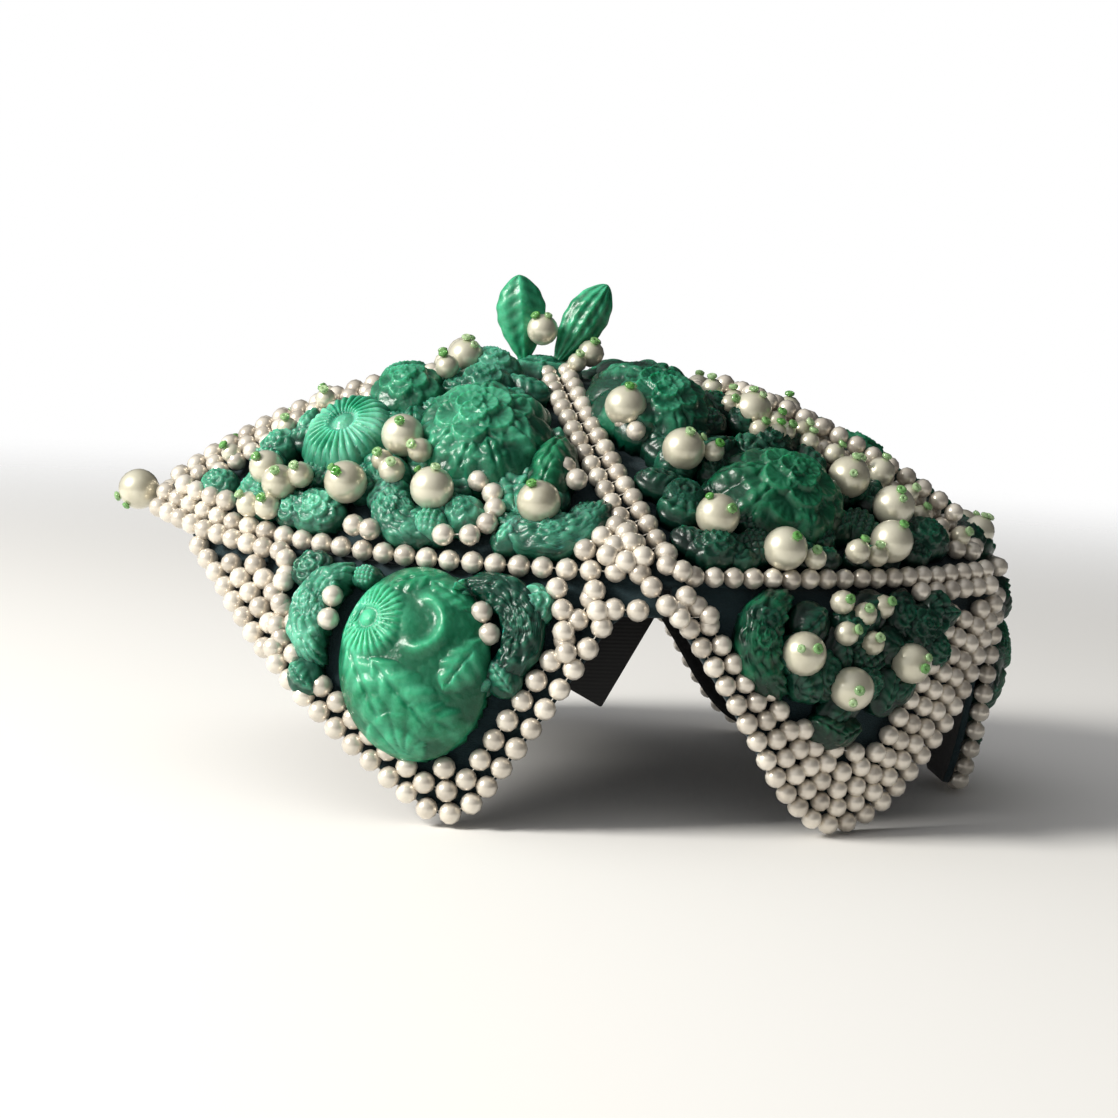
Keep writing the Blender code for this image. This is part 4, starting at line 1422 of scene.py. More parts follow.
# The main stones of each kind of side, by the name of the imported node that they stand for
MAIN_STONES = {
    "front": {
        "rose_stone": Stone(
            CROWN, 0.655, 0.570, 32.0, 34.0, 8.6,
            (
                Motif(ROSE, -0.08, 0.02, 0.74, 2.8), Motif(LEAF, -0.62, -0.5, 0.42, 2.2, 215.0),
                Motif(LEAF, 0.70, -0.30, 0.42, 2.2, -25.0), Motif(LEAF, 0.30, -0.76, 0.4, 2.1, -65.0),
                Motif(LEAF, -0.2, -0.80, 0.4, 2.1, 250.0), Motif(LEAF, 0.60, 0.55, 0.4, 2.0, 45.0),
                Motif(LEAF, 0.0, 0.80, 0.4, 2.0, 90.0), Motif(LEAF, -0.66, 0.50, 0.42, 2.0, 130.0),
            ),
            PALE_JADE, scallops=9, detail=6,
        ),
        "round_stone": Stone(
            CROWN, 0.300, 0.700, 22.5, 27.0, 4.8, (Motif(DAISY, 0.0, 0.0, 0.98, 2.4),), MILKY_JADE,
            scallops=14, roundness=3.0, detail=6,
        ),
        "top_stone": Stone(
            CROWN, 0.292, 0.495, 19.5, 18.0, 5.8,
            (Motif(ROSE, 0.05, -0.05, 0.85, 2.2, 20.0), Motif(LEAF, -0.6, 0.4, 0.5, 1.8, 120.0)), PALE_JADE,
            scallops=7,
        ),
        "bud_stone": Stone(
            CROWN, 0.860, 0.655, 12.0, 21.0, 5.0,
            (Motif(LEAF, 0.0, 0.25, 1.2, 2.0, 80.0), Motif(LEAF, 0.0, -0.5, 1.0, 1.9, -100.0)), DARK_JADE,
            scallops=7,
        ),
        "petal_oval_stone": Stone(
            PETAL, 85.9, 20.7, 32.8, 41.0, 7.0,
            (
                Motif(DAISY, -0.50, 0.44, 0.55, 2.1), Motif(CRESCENT, 0.16, 0.38, 0.48, 1.9, 20.0),
                Motif(LEAF, 0.10, 0.84, 0.36, 1.6, 10.0), Motif(LEAF, 0.60, 0.62, 0.36, 1.6, -35.0),
                Motif(LEAF, 0.72, -0.10, 0.42, 1.8, 52.0), Motif(LEAF, -0.58, -0.22, 0.58, 1.7, 112.0),
                Motif(LEAF, -0.06, -0.40, 0.66, 1.8, 128.0), Motif(FAN, -0.30, -0.74, 0.36, 1.4, 20.0),
                Motif(LEAF, 0.36, -0.66, 0.44, 1.6, 150.0),
            ),
            EMERALD, turn=10.0, detail=6, rim=1.2,
        ),
    },
    "side": {
        "upper_oval_stone": Stone(
            CROWN, 0.440, 0.395, 30.0, 33.0, 6.8,
            (
                Motif(ROSE, 0.1, -0.2, 0.66, 2.4), Motif(LEAF, -0.5, 0.45, 0.5, 2.0, 130.0),
                Motif(LEAF, 0.35, 0.65, 0.46, 2.0, 70.0), Motif(LEAF, -0.6, -0.4, 0.46, 2.0, 210.0),
                Motif(LEAF, 0.2, -0.8, 0.42, 1.9, -80.0),
            ),
            PALE_JADE, scallops=9, detail=6, tone=-0.2,
        ),
        "lower_oval_stone": Stone(
            CROWN, 0.468, 0.785, 33.0, 28.5, 8.2,
            (
                Motif(ROSE, 0.12, 0.0, 0.84, 2.6), Motif(LEAF, -0.72, 0.3, 0.45, 2.1, 160.0),
                Motif(LEAF, -0.62, -0.45, 0.45, 2.1, 215.0), Motif(LEAF, 0.80, -0.3, 0.42, 2.0, -30.0),
                Motif(LEAF, 0.74, 0.5, 0.42, 2.0, 40.0), Motif(LEAF, 0.1, -0.82, 0.4, 2.0, -90.0),
            ),
            DARK_JADE, scallops=9, detail=6,
        ),
        "petal_flower_stone": scroll(PETAL, 17.6, 12.6, 28.0, 10.5, 84.0, 1.35, -0.35, DARK_JADE),
        "petal_leaf_stone": Stone(
            PETAL, 34.0, 30.5, 13.0, 9.5, 3.0,
            (Motif(LEAF, -0.3, 0.1, 1.0, 1.7, 150.0), Motif(LEAF, 0.4, -0.1, 1.0, 1.7, 20.0)), DARK_JADE,
            scallops=7, tone=-0.45,
        ),
    },
    "back": {
        "back_oval_stone": Stone(
            CROWN, 0.5, 0.69, 23.0, 26.0, 2.8,
            (
                Motif(ROSE, 0.0, 0.05, 0.84, 2.6), Motif(LEAF, -0.5, -0.7, 0.44, 2.0, 230.0),
                Motif(LEAF, 0.5, -0.7, 0.44, 2.0, -50.0),
            ),
            DARK_JADE, scallops=9, detail=6,
        ),
        "back_petal_stone": Stone(
            PETAL, 23.45, 24.0, 17.5, 26.0, 5.5,
            (
                Motif(DAISY, 0.0, 0.42, 0.78, 2.0), Motif(LEAF, -0.35, -0.45, 0.7, 1.7, 110.0),
                Motif(LEAF, 0.38, -0.5, 0.7, 1.7, 70.0),
            ),
            DARK_JADE,
        ),
    },
}

# The small bits that show in the photograph, by kind of side and surface
FIELD_BITS = {
    ("front", CROWN): bits(
        CROWN, FIELD_JADE,
        (0.131, 0.935, 11.0, 8.5, ROSE, 0.0, 5), (0.180, 0.840, 10.0, 9.0, BERRY, 0.0, 5),
        (0.255, 0.935, 12.0, 9.0, LEAF, -10.0), (0.372, 0.925, 15.0, 11.5, ROSE, 0.0, 7),
        scroll(CROWN, 0.528, 0.895, 26.0, 10.0, 128.0, 1.2, -0.15),
        (0.612, 0.915, 8.5, 8.0, BERRY, 0.0, 6, 4.4, 0.5), (0.668, 0.868, 10.5, 10.0, ROSE, 0.0, 6, 4.2),
        scroll(CROWN, 0.838, 0.905, 31.0, 10.5, 196.0, 1.4, -0.3),
        (0.390, 0.240, 15.0, 12.0, ROSE, 0.0, 7, 4.0), (0.760, 0.905, 11.0, 8.0, LEAF, 60.0),
        (0.455, 0.770, 12.0, 10.0, FAN, 0.0, 5), (0.430, 0.590, 11.0, 12.0, LEAF, 20.0),
        (0.500, 0.340, 16.0, 12.0, ROSE, 0.0, 7, 4.2), (0.780, 0.420, 11.0, 11.0, LEAF, -40.0),
        (0.250, 0.310, 8.0, 7.0, FAN, 0.0, 5), (0.780, 0.790, 12.0, 10.0, FAN, 0.0, 5),
        (0.160, 0.700, 8.0, 11.0, LEAF),
    ),
    ("side", CROWN): bits(
        CROWN, FIELD_DARK,
        (0.150, 0.925, 13.0, 9.5, ROSE, 0.0, 6, 3.8), (0.265, 0.920, 12.0, 9.0, BERRY, 0.0, 6),
        (0.180, 0.755, 10.0, 10.0, DAISY, 0.0, 9), (0.250, 0.640, 10.0, 10.0, FAN, 0.0, 5),
        (0.450, 0.610, 14.0, 10.0, LEAF, 20.0), (0.240, 0.490, 9.0, 10.0, BERRY, 0.0, 5),
        (0.700, 0.610, 13.0, 11.0, ROSE, 0.0, 6), (0.810, 0.920, 18.0, 11.0, ROSE, 0.0, 7, 4.0),
        (0.700, 0.920, 12.0, 9.0, LEAF, -20.0), (0.790, 0.770, 11.0, 10.0, FAN, 0.0, 5),
        (0.560, 0.955, 12.0, 6.0, LEAF), (0.420, 0.955, 11.0, 6.0, LEAF, 180.0),
    ),
    ("back", CROWN): bits(
        CROWN, FIELD_DARK,
        (0.500, 0.925, 12.0, 7.0, FAN, 0.0, 5), (0.270, 0.860, 9.0, 11.0, LEAF, 20.0),
        (0.730, 0.860, 9.0, 11.0, LEAF, -20.0), (0.500, 0.490, 10.0, 9.0, ROSE, 0.0, 5),
    ),
    ("front", PETAL): bits(
        PETAL, FIELD_JADE,
        scroll(PETAL, 62.2, 13.0, 28.0, 9.6, 84.0, 1.2, 0.1),
        scroll(PETAL, 105.0, 10.6, 35.0, 9.6, -68.0, 1.8, -0.62), (102.5, 22.5, 9.0, 8.0, LEAF, -50.0),
        (66.0, 26.5, 9.0, 8.0, LEAF, -40.0), (71.5, 5.6, 8.0, 5.5, BERRY, 0.0, 5, 2.6),
    ),
    ("side", PETAL): bits(
        PETAL, FIELD_DARK,
        (29.5, 9.0, 10.0, 10.0, LEAF, 40.0), (39.5, 10.0, 11.0, 10.0, ROSE, 0.0, 5),
        (58.0, 10.5, 14.0, 11.0, ROSE, 0.0, 6), (48.0, 14.0, 10.0, 10.0, LEAF, -30.0),
        (27.0, 20.5, 11.0, 9.0, FAN, -60.0, 5), (40.5, 21.0, 12.0, 9.0, ROSE, 0.0, 5),
        (50.0, 22.5, 10.0, 8.0, LEAF, 40.0), (66.5, 8.4, 8.0, 7.0, LEAF),
    ),
    ("back", PETAL): bits(
        PETAL, FIELD_DARK,
        (15.0, 9.0, 9.0, 10.0, LEAF, 30.0), (31.9, 9.0, 9.0, 10.0, LEAF, -30.0),
        (23.45, 41.0, 11.0, 7.0, FAN, 0.0, 5),
    ),
}


def gap(line: Array, point: Array) -> float:
    """Distance from a place to the nearest point of a line."""
    return float(np.linalg.norm(line - point, axis=1).min())


@dataclass
class Carpet:
    """The small carved leaves and buds that cover the felt between the main stones."""

    apart: float = 6.6
    tries: int = 900
    from_front_ridge: float = 14.5
    from_ridge: float = 8.5
    from_fold: float = 6.0
    below_fold: float = 5.0
    from_border: float = 3.4
    from_sprig: float = 6.0
    large_stone: float = 20.0
    clear_of_large: float = 0.72
    clear_of_small: float = 0.85
    shares: tuple = (0.02, 0.98)
    reaches: tuple = (0.12, 0.98)
    drops: tuple = (4.0, 50.0)
    widths: tuple = (9.5, 13.0)
    lengths: tuple = (8.0, 10.0)
    heights: tuple = (1.2, 2.4)
    tones: tuple = (-0.35, 0.1)
    cuts: tuple = (LEAF, FAN, ROSE, LEAF, BERRY, ROSE)
    chance: random.Random = field(default_factory=lambda: random.Random(5))

    def room(self, panel: Panel, where: Where, along: float, across: float, point: Array) -> bool:
        """Whether a place lies in the field, clear of the rows round it.

        Args:
            panel: the side.
            where: crown or petal.
            along: share of the fold.
            across: reach on the crown, drop on the petal.
            point: the place itself.

        Returns:
            True where a bit may lie.
        """
        side = panel.side
        if where is PETAL:
            inside = side.border_inside(np.array([along]), self.from_border)[0]
            return self.below_fold < across < inside
        for share in (0.0, 1.0):
            ridge, _ = panel.spots(CROWN, share, np.linspace(0.05, 1.0, FORM.length_steps))
            front = panel.kind == "front" and share == 0.0
            if gap(ridge, point) < (self.from_front_ridge if front else self.from_ridge):
                return False
        fold = panel.mirrored(side.fold(np.linspace(0, 1, 2 * FORM.length_steps)))
        return gap(fold, point) > self.from_fold

    def fill(self, panel: Panel, where: Where, over: list, finish: Finish) -> list:
        """The bits of one field.

        Args:
            panel: the side.
            where: crown or petal.
            over: the stones that lie over the field.
            finish: the bits' finish.

        Returns:
            The bits, as stones.
        """
        made, taken, lying = [], [], []
        for stone in over:
            spot, _ = panel.spots(where, panel.share(where, stone.along), stone.across)
            clear = self.clear_of_small if stone.width < self.large_stone else self.clear_of_large
            lying.append((spot, min(stone.width, stone.length) / 2 * clear))
        for sprig in SPRIGS[panel.kind]:
            if sprig.where is where:
                along, across = np.array(sprig.spots).T
                beads, _ = panel.spots(where, panel.share(where, along), across)
                lying += [(bead, self.from_sprig) for bead in beads]
        for _ in range(self.tries):
            along = self.chance.uniform(*self.shares)
            across = self.chance.uniform(*(self.reaches if where is CROWN else self.drops))
            spot, _ = panel.spots(where, along, across)
            if any(np.linalg.norm(spot - middle) < reach for middle, reach in lying + taken):
                continue
            if not self.room(panel, where, along, across, spot):
                continue
            taken.append((spot, self.apart))
            cut = self.cuts[len(taken) % len(self.cuts)]
            width, length = self.chance.uniform(*self.widths), self.chance.uniform(*self.lengths)
            height, turn = self.chance.uniform(*self.heights), self.chance.uniform(0.0, 360.0)
            along = along if where is CROWN else along * panel.side.length
            made.append(
                Stone(
                    where, along, across, width, length, height, (Motif(cut, 0.0, 0.0, 1.1, 2.0),), finish,
                    turn, 0.0, 0 if cut is LEAF else 6, 4, roundness=3.0,
                    tone=self.chance.uniform(*self.tones),
                )
            )
        return made


# Pearls over the fields
@dataclass(frozen=True)
class Drop:
    """A pearl sewn on over a field, with a seed bead to stop its thread."""

    where: Where
    along: float
    across: float
    size: float
    lift: float


def drops(where: Where, *rows: tuple) -> tuple:
    """Pearls over one surface, from the place along and across, the size and the lift of each."""
    return tuple(Drop(where, *row) for row in rows)


DROPS = {
    "front": drops(
        CROWN,
        (0.474, 0.690, 9.4, 6.2), (0.425, 0.863, 9.4, 6.0), (0.604, 0.835, 9.4, 6.2),
        (0.819, 0.828, 9.4, 5.2), (0.228, 0.873, 7.8, 4.8), (0.285, 0.900, 8.0, 5.0),
        (0.497, 0.795, 6.0, 5.2), (0.465, 0.775, 5.0, 5.4), (0.541, 0.727, 5.6, 6.6),
        (0.318, 0.870, 6.0, 5.4), (0.291, 0.958, 6.0, 3.6), (0.130, 0.740, 4.8, 2.6),
        (0.246, 0.962, 6.0, 2.8), (0.270, 0.285, 8.0, 4.6), (0.350, 0.385, 5.6, 5.4),
        (0.110, 0.620, 5.0, 3.0), (0.090, 0.860, 4.6, 2.6),
    ),
    "side": (
        *drops(
            CROWN,
            (0.205, 0.445, 9.4, 5.2), (0.262, 0.640, 9.4, 5.6), (0.185, 0.865, 9.4, 5.6),
            (0.302, 0.955, 9.4, 4.6), (0.725, 0.775, 9.4, 5.4), (0.765, 0.860, 9.4, 5.0),
            (0.630, 0.945, 9.4, 4.8), (0.360, 0.657, 4.8, 5.4), (0.505, 0.962, 5.6, 4.2),
            (0.375, 0.972, 5.0, 3.4), (0.560, 0.970, 5.0, 3.6), (0.800, 0.510, 8.8, 3.6),
            (0.870, 0.390, 5.2, 3.0), (0.845, 0.450, 5.0, 3.0), (0.690, 0.578, 4.6, 3.2),
            (0.740, 0.598, 4.6, 3.4), (0.785, 0.600, 4.6, 3.4), (0.820, 0.640, 4.6, 3.4),
            (0.850, 0.685, 5.0, 3.2), (0.880, 0.720, 4.8, 3.0), (0.925, 0.755, 7.0, 3.4),
            (0.945, 0.815, 4.6, 2.6), (0.950, 0.930, 4.8, 2.0), (0.885, 0.870, 4.8, 2.2),
            (0.760, 0.470, 4.6, 3.2), (0.820, 0.560, 4.8, 3.6), (0.870, 0.600, 4.6, 3.6),
        ),
        *drops(
            PETAL,
            (25.8, 15.2, 9.4, 4.0), (35.8, 22.2, 9.4, 4.2), (51.0, 17.8, 8.8, 4.0), (37.2, 5.2, 5.4, 2.8),
            (41.5, 7.8, 5.4, 3.6), (47.2, 6.3, 5.4, 2.8), (36.2, 11.4, 5.4, 3.6), (42.1, 13.4, 5.4, 3.6),
        ),
    ),
    "back": drops(
        CROWN,
        (0.330, 0.940, 7.4, 3.4), (0.670, 0.940, 7.4, 3.4), (0.5, 0.515, 6.0, 3.0),
    ),
}


@dataclass
class TopPearls:
    """The large pearls with their seed beads, also those in clusters and at the front corner."""

    large_from: float = 7.0
    seed_size: float = 2.2
    second_size: float = 1.8
    second_share: float = 0.7
    lean: float = 0.35
    second_lean: float = 0.9
    seed_tube: float = 0.52
    seed_ring: float = 0.6
    seed_lift: float = 0.5
    tip_size: float = 9.4
    tip_out: float = 3.8
    tip_drop: float = 1.0
    chance: random.Random = field(default_factory=lambda: random.Random(21))

    def add(self, name: str, beads: list, nodes: tuple = ()) -> None:
        """Adds large pearls, and the seed beads over them, as two pieces.

        Args:
            name: the pearls' name.
            beads: the pearls.
            nodes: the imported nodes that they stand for.
        """
        pearls, seeds = bmesh.new(), bmesh.new()
        shade = pearls.verts.layers.float.new("shade")
        tint = seeds.verts.layers.float.new("shade")
        for bead in beads:
            large = bead.size > self.large_from
            value = self.chance.uniform(0.1, 0.9)
            made = bmesh.ops.create_icosphere(
                pearls, subdivisions=3 if large else 2, radius=bead.size / 2,
                matrix=Matrix.Translation(Vector(bead.centre)),
            )
            for vert in made["verts"]:
                vert[shade] = value
            self.seed(seeds, tint, bead, self.lean, self.seed_size)
            if large and self.chance.random() < self.second_share:
                self.seed(seeds, tint, bead, self.second_lean, self.second_size)
        add_piece(name, pearls, LARGE_PEARL, nodes)
        add_piece(f"{name}_seeds", seeds, SEED)

    def seed(self, bm: bmesh.types.BMesh, tint: Any, bead: Bead, lean: float, size: float) -> None:
        """Adds the seed bead that stops a pearl's thread.

        Args:
            bm: the mesh that it is added to.
            tint: the layer of its shade.
            bead: the pearl.
            lean: how far it may lean from the pearl's hole.
            size: its diameter.
        """
        axis = Vector(bead.axis).normalized()
        axis = (axis + Vector([self.chance.uniform(-lean, lean) for _ in range(3)])).normalized()
        half = size / 2
        hoop = bmesh.ops.create_circle(bm, segments=6, radius=half * self.seed_tube)["verts"]
        upright = Matrix.Translation((half * self.seed_ring, 0.0, 0.0)) @ Matrix.Rotation(math.pi / 2, 4, "X")
        bmesh.ops.transform(bm, matrix=upright, verts=hoop)
        edges = list({edge for vert in hoop for edge in vert.link_edges})
        bmesh.ops.spin(
            bm, geom=hoop + edges, cent=(0.0, 0.0, 0.0), axis=(0.0, 0.0, 1.0), dvec=(0.0, 0.0, 0.0),
            angle=2 * math.pi, steps=8, use_merge=True, use_duplicate=False,
        )
        verts = self.connected(hoop)
        place = Matrix.Translation(Vector(bead.centre) + axis * (bead.size / 2 + half * self.seed_lift))
        place = place @ axis.to_track_quat("Z", "Y").to_matrix().to_4x4()
        bmesh.ops.transform(bm, matrix=place, verts=verts)
        value = self.chance.uniform(0.0, 1.0)
        for vert in verts:
            vert[tint] = value

    @staticmethod
    def connected(start: list) -> list:
        """All the corners that are joined to the given ones by edges.

        Args:
            start: the corners to begin at.

        Returns:
            The corners.
        """
        found, ends = set(start), list(start)
        while ends:
            for edge in ends.pop().link_edges:
                fresh = set(edge.verts) - found
                found |= fresh
                ends += fresh
        return list(found)

    def panel(self, panel: Panel) -> None:
        """Adds the pearls of one side's crown and petal.

        Args:
            panel: the side.
        """
        beads = []
        for drop in DROPS[panel.kind]:
            share = panel.share(drop.where, drop.along)
            spot, normal = panel.spots(drop.where, share, drop.across, drop.lift)
            beads.append(Bead(tuple(spot), drop.size, tuple(normal)))
        self.add(f"large_pearls_{panel.label}", beads)

    def front(self) -> None:
        """Adds the large pearl that stands out of the front corner, stopped by its seed bead."""
        x, y, z = FORM.front_corner
        centre = (x, y - self.tip_out, z - self.tip_drop)
        self.add("tip_pearl", [Bead(centre, self.tip_size, (0.0, -1.0, -0.05))], ("front_pearl",))


@dataclass
class TopKnot:
    """The two upright leaves at the top, with the carved flower and the pearls at their foot."""

    depth: float = 5.6
    foot: float = 91.8
    leaf_foot: float = 94.6
    knot_height: float = 3.63
    knot_carving: float = 1.9
    knot_radius: float = 10.6
    knot_forward: float = 3.0
    flat_back: float = 0.94
    pearls: tuple = ((4.4, -3.2, 11.2, 7.2), (3.6, 8.2, 6.4, 6.4), (6.6, 5.0, 4.2, 4.6))

    def leaf(self, name: str, hand: int, size: tuple, lean: float, place: float) -> None:
        """Adds a thick leaf, grooved lengthwise on both faces.

        Args:
            name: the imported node's name.
            hand: 1 where it leans to the back, -1 where it leans to the front.
            size: its width and its length.
            lean: degrees from upright.
            place: how far its foot lies behind the top.
        """
        bm = bmesh.new()
        layer = bm.verts.layers.float.new("relief")
        bmesh.ops.create_icosphere(bm, subdivisions=6, radius=1.0)
        for vert in bm.verts:
            face, across, up = vert.co
            ring = max(math.hypot(face, across), 1e-6)
            share, side = (up + 1) / 2, across / ring
            stalk = 0.3 * (1 - share) ** 0.3 * min(1.0, 12 * share)
            wide = max(stalk, math.sin(math.pi * share**1.35) ** 0.62)
            wide *= 1 + 0.02 * math.cos(38 * share) * abs(side) ** 3
            groove = 0.5 + 0.5 * math.cos((11 + 3.5 * hand) * side * (1 - 0.12 * share) + 0.6 * hand)
            strokes = 0.5 + 0.5 * math.cos(46 * share + 7 * abs(side))
            cut = 0.7 * groove + 0.3 * strokes * (1 - side**4)
            keel = 1 + 0.3 * (1 - abs(side))
            thick = self.depth / 2 * wide**0.8 * keel * (0.84 + 0.2 * cut)
            # The grooves' height paints shade into the grooves and light onto the ridges between them.
            vert[layer] = 0.2 + 0.75 * cut
            vert.co = (face / ring * thick, side * size[0] / 2 * wide, share * size[1])
        bmesh.ops.rotate(bm, matrix=Matrix.Rotation(math.radians(-hand * lean), 3, "X"), verts=bm.verts)
        lowest = min(vert.co.z for vert in bm.verts)
        shift = Vector((0.0, FORM.apex[1] + place, self.leaf_foot - lowest))
        bmesh.ops.translate(bm, vec=shift, verts=bm.verts)
        add_piece(f"carved_{name}", bm, EMERALD, (name,))

    def flower(self) -> None:
        """Adds the carved flower that covers the very top of the crown."""
        bm = bmesh.new()
        layer = bm.verts.layers.float.new("relief")
        bmesh.ops.create_icosphere(bm, subdivisions=5, radius=1.0)
        x, y, z = np.array([vert.co[:] for vert in bm.verts]).T
        out = np.sqrt(np.maximum((1 - z) / 2, 0)) / self.flat_back
        turn = np.arctan2(y, x)
        cut = np.maximum(ROSE.height(out * np.cos(turn), out * np.sin(turn)), 0) * (out < 1)
        inner = np.minimum(out, 1.0)
        reach = inner * (1 - 0.12 * np.abs(np.sin(3.5 * turn))) * self.knot_radius
        reach *= 1 - 0.28 * np.abs(np.cos(turn)) ** 3
        rise = self.foot + self.knot_height * np.sqrt(np.maximum(1 - inner**2, 0)) + self.knot_carving * cut
        middle = FORM.apex[1] - self.knot_forward
        points = np.stack([reach * np.cos(turn), middle + reach * np.sin(turn), rise], -1)
        # The rose's height paints shade into its cuts and light onto its petals.
        for vert, point, height in zip(bm.verts, points, cut):
            vert.co = point
            vert[layer] = 0.15 + 0.85 * height
        add_piece("carved_top_flower", bm, FIELD_JADE, ("top_rosette",))

    def knot(self, large: TopPearls) -> None:
        """Adds the few pearls between and beside the leaves' feet.

        Args:
            large: what adds large pearls.
        """
        beads = []
        for hand in (1, -1):
            for x, y, z, size in self.pearls:
                out = (hand * x / 6, y / 14, 0.8)
                beads.append(Bead((hand * x, FORM.apex[1] + y, self.foot + z), size, out))
        large.add("knot_pearls", beads)


@dataclass
class RibbonTab:
    """The black ribbon tab that shows behind a side notch."""

    size: tuple = (1.6, 11.0, 25.6)
    place: tuple = (57.95, 5.33, 39.5)
    tilt: float = 28.0
    turn: float = 8.0
    soft_edge: float = 0.5

    def add(self, name: str, hand: int) -> None:
        """Adds the folded ribbon with soft edges.

        Args:
            name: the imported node's name.
            hand: 1 for the wearer's left, -1 for the right.
        """
        bm = bmesh.new()
        bmesh.ops.create_cube(bm, size=1.0)
        bmesh.ops.scale(bm, vec=Vector(self.size), verts=bm.verts)
        bmesh.ops.bevel(
            bm, geom=bm.edges[:], offset=self.soft_edge, segments=3, profile=0.5, affect="EDGES", material=-1
        )
        tilt = Matrix.Rotation(math.radians(-self.tilt), 4, "X")
        turn = Matrix.Rotation(math.radians(self.turn), 4, "Z")
        place = Matrix.Translation(Vector(self.place)) @ turn @ tilt
        bmesh.ops.transform(bm, matrix=place, verts=bm.verts)
        if hand < 0:
            bmesh.ops.scale(bm, vec=Vector((-1.0, 1.0, 1.0)), verts=bm.verts)
            bmesh.ops.reverse_faces(bm, faces=bm.faces)
        add_piece(f"folded_{name}", bm, RIBBON, (name,))


@dataclass
class Studio:
    """The floor, the soft light and the camera at the photograph's viewing angle."""

    turn: float = 4.0
    rise: float = 5.0
    roll: float = 3.4
    distance: float = 520.0
    lens: float = 71.7
    looked_at: tuple = (0.0, -2.37, 62.1)
    lower: float = 12.2
    floor_size: float = 3.0
    window_at: tuple = (0.34, -0.92, 0.62)
    window_aim: tuple = (0.0, 0.0, 0.05)
    window_power: float = 17.0
    window_size: float = 0.34
    bright_toward: tuple = (0.14, -0.82, 0.55)
    dimmest_at: float = -0.1
    brightest_at: float = 0.98
    dimmest: float = 0.06
    brightest: float = 0.72

    def camera(self) -> None:
        """Adds the camera."""
        (cos, sin), (level, high) = heading(self.turn), heading(self.rise)
        spot = Vector(self.looked_at) + Vector((cos * level, -sin * level, high)) * self.distance
        aim = Vector(self.looked_at) - Vector((0.0, 0.0, self.lower))
        back = (spot - aim).normalized()
        right = Vector((0.0, 0.0, 1.0)).cross(back).normalized()
        up = back.cross(right)
        cos, sin = heading(self.roll)
        right, up = right * cos + up * sin, up * cos - right * sin
        lens = bpy.data.cameras.new("camera")
        lens.lens = self.lens
        made = placed("camera", lens)
        rows = [[right[row], up[row], back[row], spot[row] * MM] for row in range(3)]
        made.matrix_world = Matrix([*rows, [0.0, 0.0, 0.0, 1.0]])
        bpy.context.scene.camera = made

    def window(self) -> None:
        """Adds the soft square light of a window before the hat, to the camera's left."""
        light = bpy.data.lights.new("window", "AREA")
        light.energy = self.window_power
        light.size = self.window_size
        light.color = linear("#FFFCF5")[:3]
        made = placed("window", light)
        made.location = self.window_at
        toward = Vector(self.window_aim) - Vector(self.window_at)
        made.rotation_euler = toward.to_track_quat("-Z", "Y").to_euler()

    def sky(self) -> None:
        """Adds the room's soft light, which is brightest at the window by the hat's front."""
        world = bpy.data.worlds.new("room")
        world.use_nodes = True
        tree = world.node_tree
        place = add_node(tree, "ShaderNodeTexCoord", {}, {})
        toward = add_node(
            tree, "ShaderNodeVectorMath", {"operation": "DOT_PRODUCT"},
            {0: place.outputs["Generated"], 1: self.bright_toward},
        )
        lit = add_node(
            tree, "ShaderNodeMapRange", {"interpolation_type": "SMOOTHSTEP"},
            {
                "Value": toward.outputs["Value"], "From Min": self.dimmest_at, "From Max": self.brightest_at,
                "To Min": self.dimmest, "To Max": self.brightest,
            },
        )
        # The backdrop behind the hat is plain white, and doesn't light it.
        path = add_node(tree, "ShaderNodeLightPath", {}, {})
        level = add_node(
            tree, "ShaderNodeMix", {"data_type": "FLOAT"},
            {0: path.outputs["Is Camera Ray"], 2: lit.outputs[0], 3: 1.0},
        )
        shown = {"Color": linear("#FFFFFF"), "Strength": level.outputs[0]}
        plug(tree, tree.nodes["Background"], shown)
        bpy.context.scene.world = world

    def build(self) -> None:
        """Adds the floor, the lights and the camera."""
        bm = bmesh.new()
        bmesh.ops.create_grid(bm, x_segments=1, y_segments=1, size=self.floor_size)
        mesh = bpy.data.meshes.new("floor")
        bm.to_mesh(mesh)
        bm.free()
        mesh.materials.append(CARD.material())
        placed("floor", mesh)
        self.sky()
        self.window()
        bpy.context.scene.view_settings.view_transform = "Standard"
        self.camera()


# The rows on each ridge: how far beside it and above it, and the reaches that they start and end at
FRONT_RIDGE = (
    (-2.2, 0.0, 0.09, 0.965), (2.2, 0.0, 0.09, 0.965), (-6.5, 0.0, 0.22, 0.925), (6.5, 0.0, 0.22, 0.925),
    (-10.7, 0.0, 0.40, 0.88), (10.7, 0.0, 0.40, 0.88),
)
SIDE_RIDGE = ((-2.3, 0.0, 0.05, 0.955), (2.3, 0.0, 0.05, 0.955))
BACK_RIDGE = (
    (-2.3, 0.0, 0.14, 0.965), (2.3, 0.0, 0.14, 0.965), (-6.6, 0.0, 0.3, 0.94), (6.6, 0.0, 0.3, 0.94),
    (0.0, 3.4, 0.42, 0.90), (-4.6, 3.0, 0.36, 0.62),
)


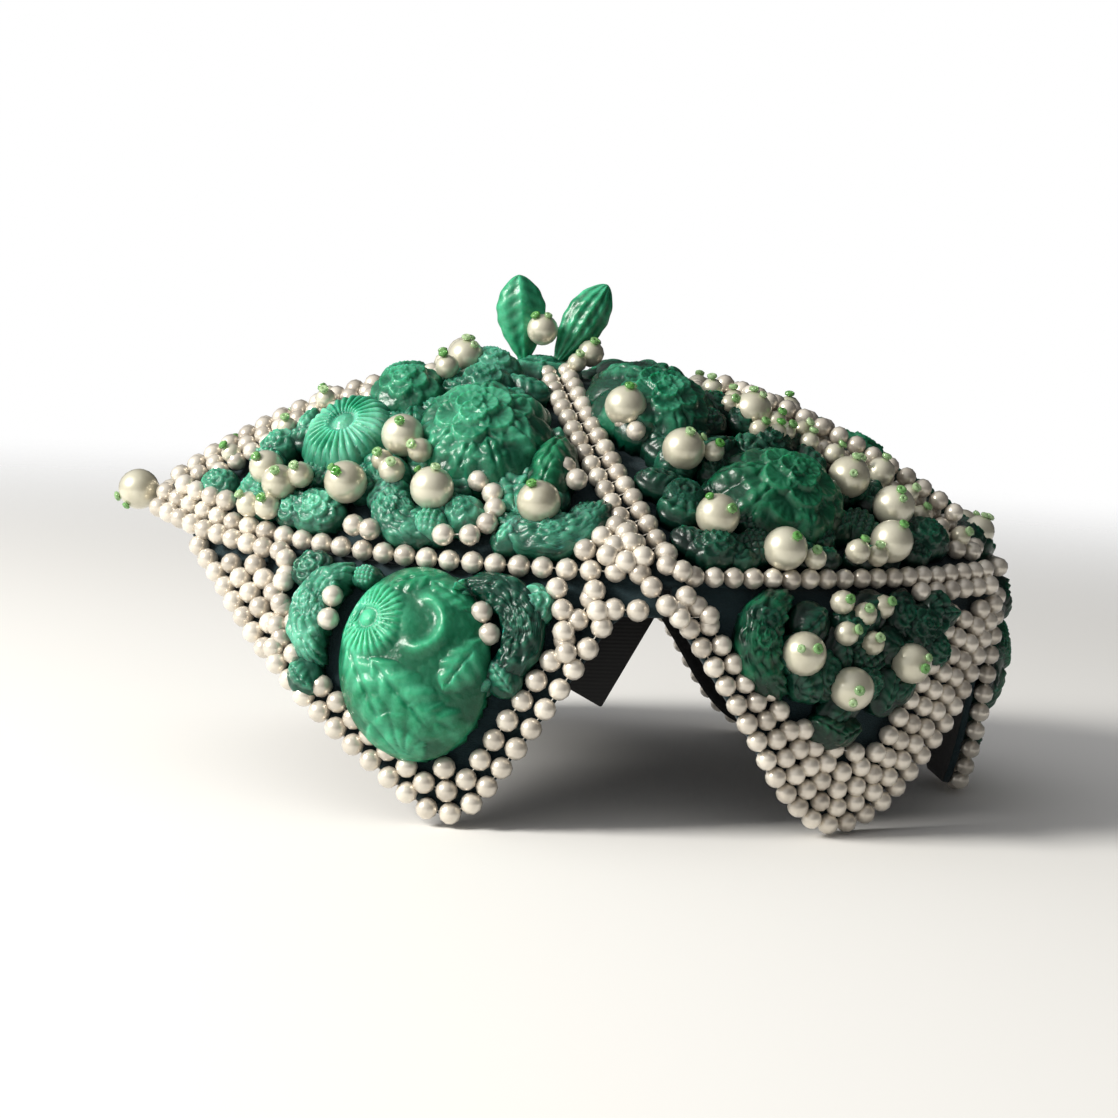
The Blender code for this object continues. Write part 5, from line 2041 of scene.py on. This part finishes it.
@dataclass
class Hat:
    """The whole hat, made in order from the felt outwards."""

    felt: FeltWork = field(default_factory=FeltWork)
    rows: PearlRows = field(default_factory=PearlRows)
    carpet: Carpet = field(default_factory=Carpet)
    large: TopPearls = field(default_factory=TopPearls)
    knot: TopKnot = field(default_factory=TopKnot)
    tab: RibbonTab = field(default_factory=RibbonTab)

    def stones(self, panel: Panel) -> None:
        """Adds the main stones and the two carved fields of one side.

        Args:
            panel: the side.
        """
        kind = panel.kind
        hand = "" if kind == "back" else panel.label[len(kind) :]
        for name, stone in MAIN_STONES[kind].items():
            add_stones(f"carved_{name}{hand}", panel, (stone,), (f"{name}{hand}",))
        for where in Where:
            name = f"{where.value}_{panel.label}"
            laid = FIELD_BITS[(kind, where)]
            over = [stone for stone in (*MAIN_STONES[kind].values(), *laid) if stone.where is where]
            spread = self.carpet.fill(panel, where, over, laid[0].finish)
            add_stones(f"carved_field_{name}", panel, (*laid, *spread), (f"stone_field_{name}",))

    def ridges(self) -> None:
        """Adds the pearls on the five ridges."""
        front_left, front_right, side_left, side_right, back = PANELS
        self.rows.ridge("front", [(front_left, 0.0), (front_right, 0.0)], FRONT_RIDGE)
        for name, front, side, end in (
            ("left", front_left, side_left, 0.0), ("right", front_right, side_right, 1.0),
        ):
            self.rows.ridge(f"side_{name}", [(front, 1.0), (side, 0.0)], SIDE_RIDGE, stitched=True)
            self.rows.ridge(f"back_{name}", [(side, 1.0), (back, end)], BACK_RIDGE)

    def build(self) -> None:
        """Builds every piece."""
        self.felt.crown()
        for panel in PANELS:
            laid = [MAIN_STONES["front"]["petal_oval_stone"]] if panel.kind == "front" else []
            self.felt.petal(panel)
            self.rows.border(panel, laid)
            self.rows.fold(panel)
            self.stones(panel)
            self.large.panel(panel)
        self.ridges()
        self.knot.leaf("leaf_back", 1, (10.0, 22.6), 30.0, 0.2)
        self.knot.leaf("leaf_front", -1, (11.4, 20.8), 7.0, -6.6)
        self.knot.flower()
        self.knot.knot(self.large)
        self.large.front()
        self.tab.add("ribbon_tab_left", 1)
        self.tab.add("ribbon_tab_right", -1)
        self.rows.sew()


def main() -> None:
    """Builds the hat and the studio."""
    logging.basicConfig(level=logging.INFO, format="%(message)s")
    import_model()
    Hat().build()
    Studio().build()


if __name__ == "__main__":
    main()
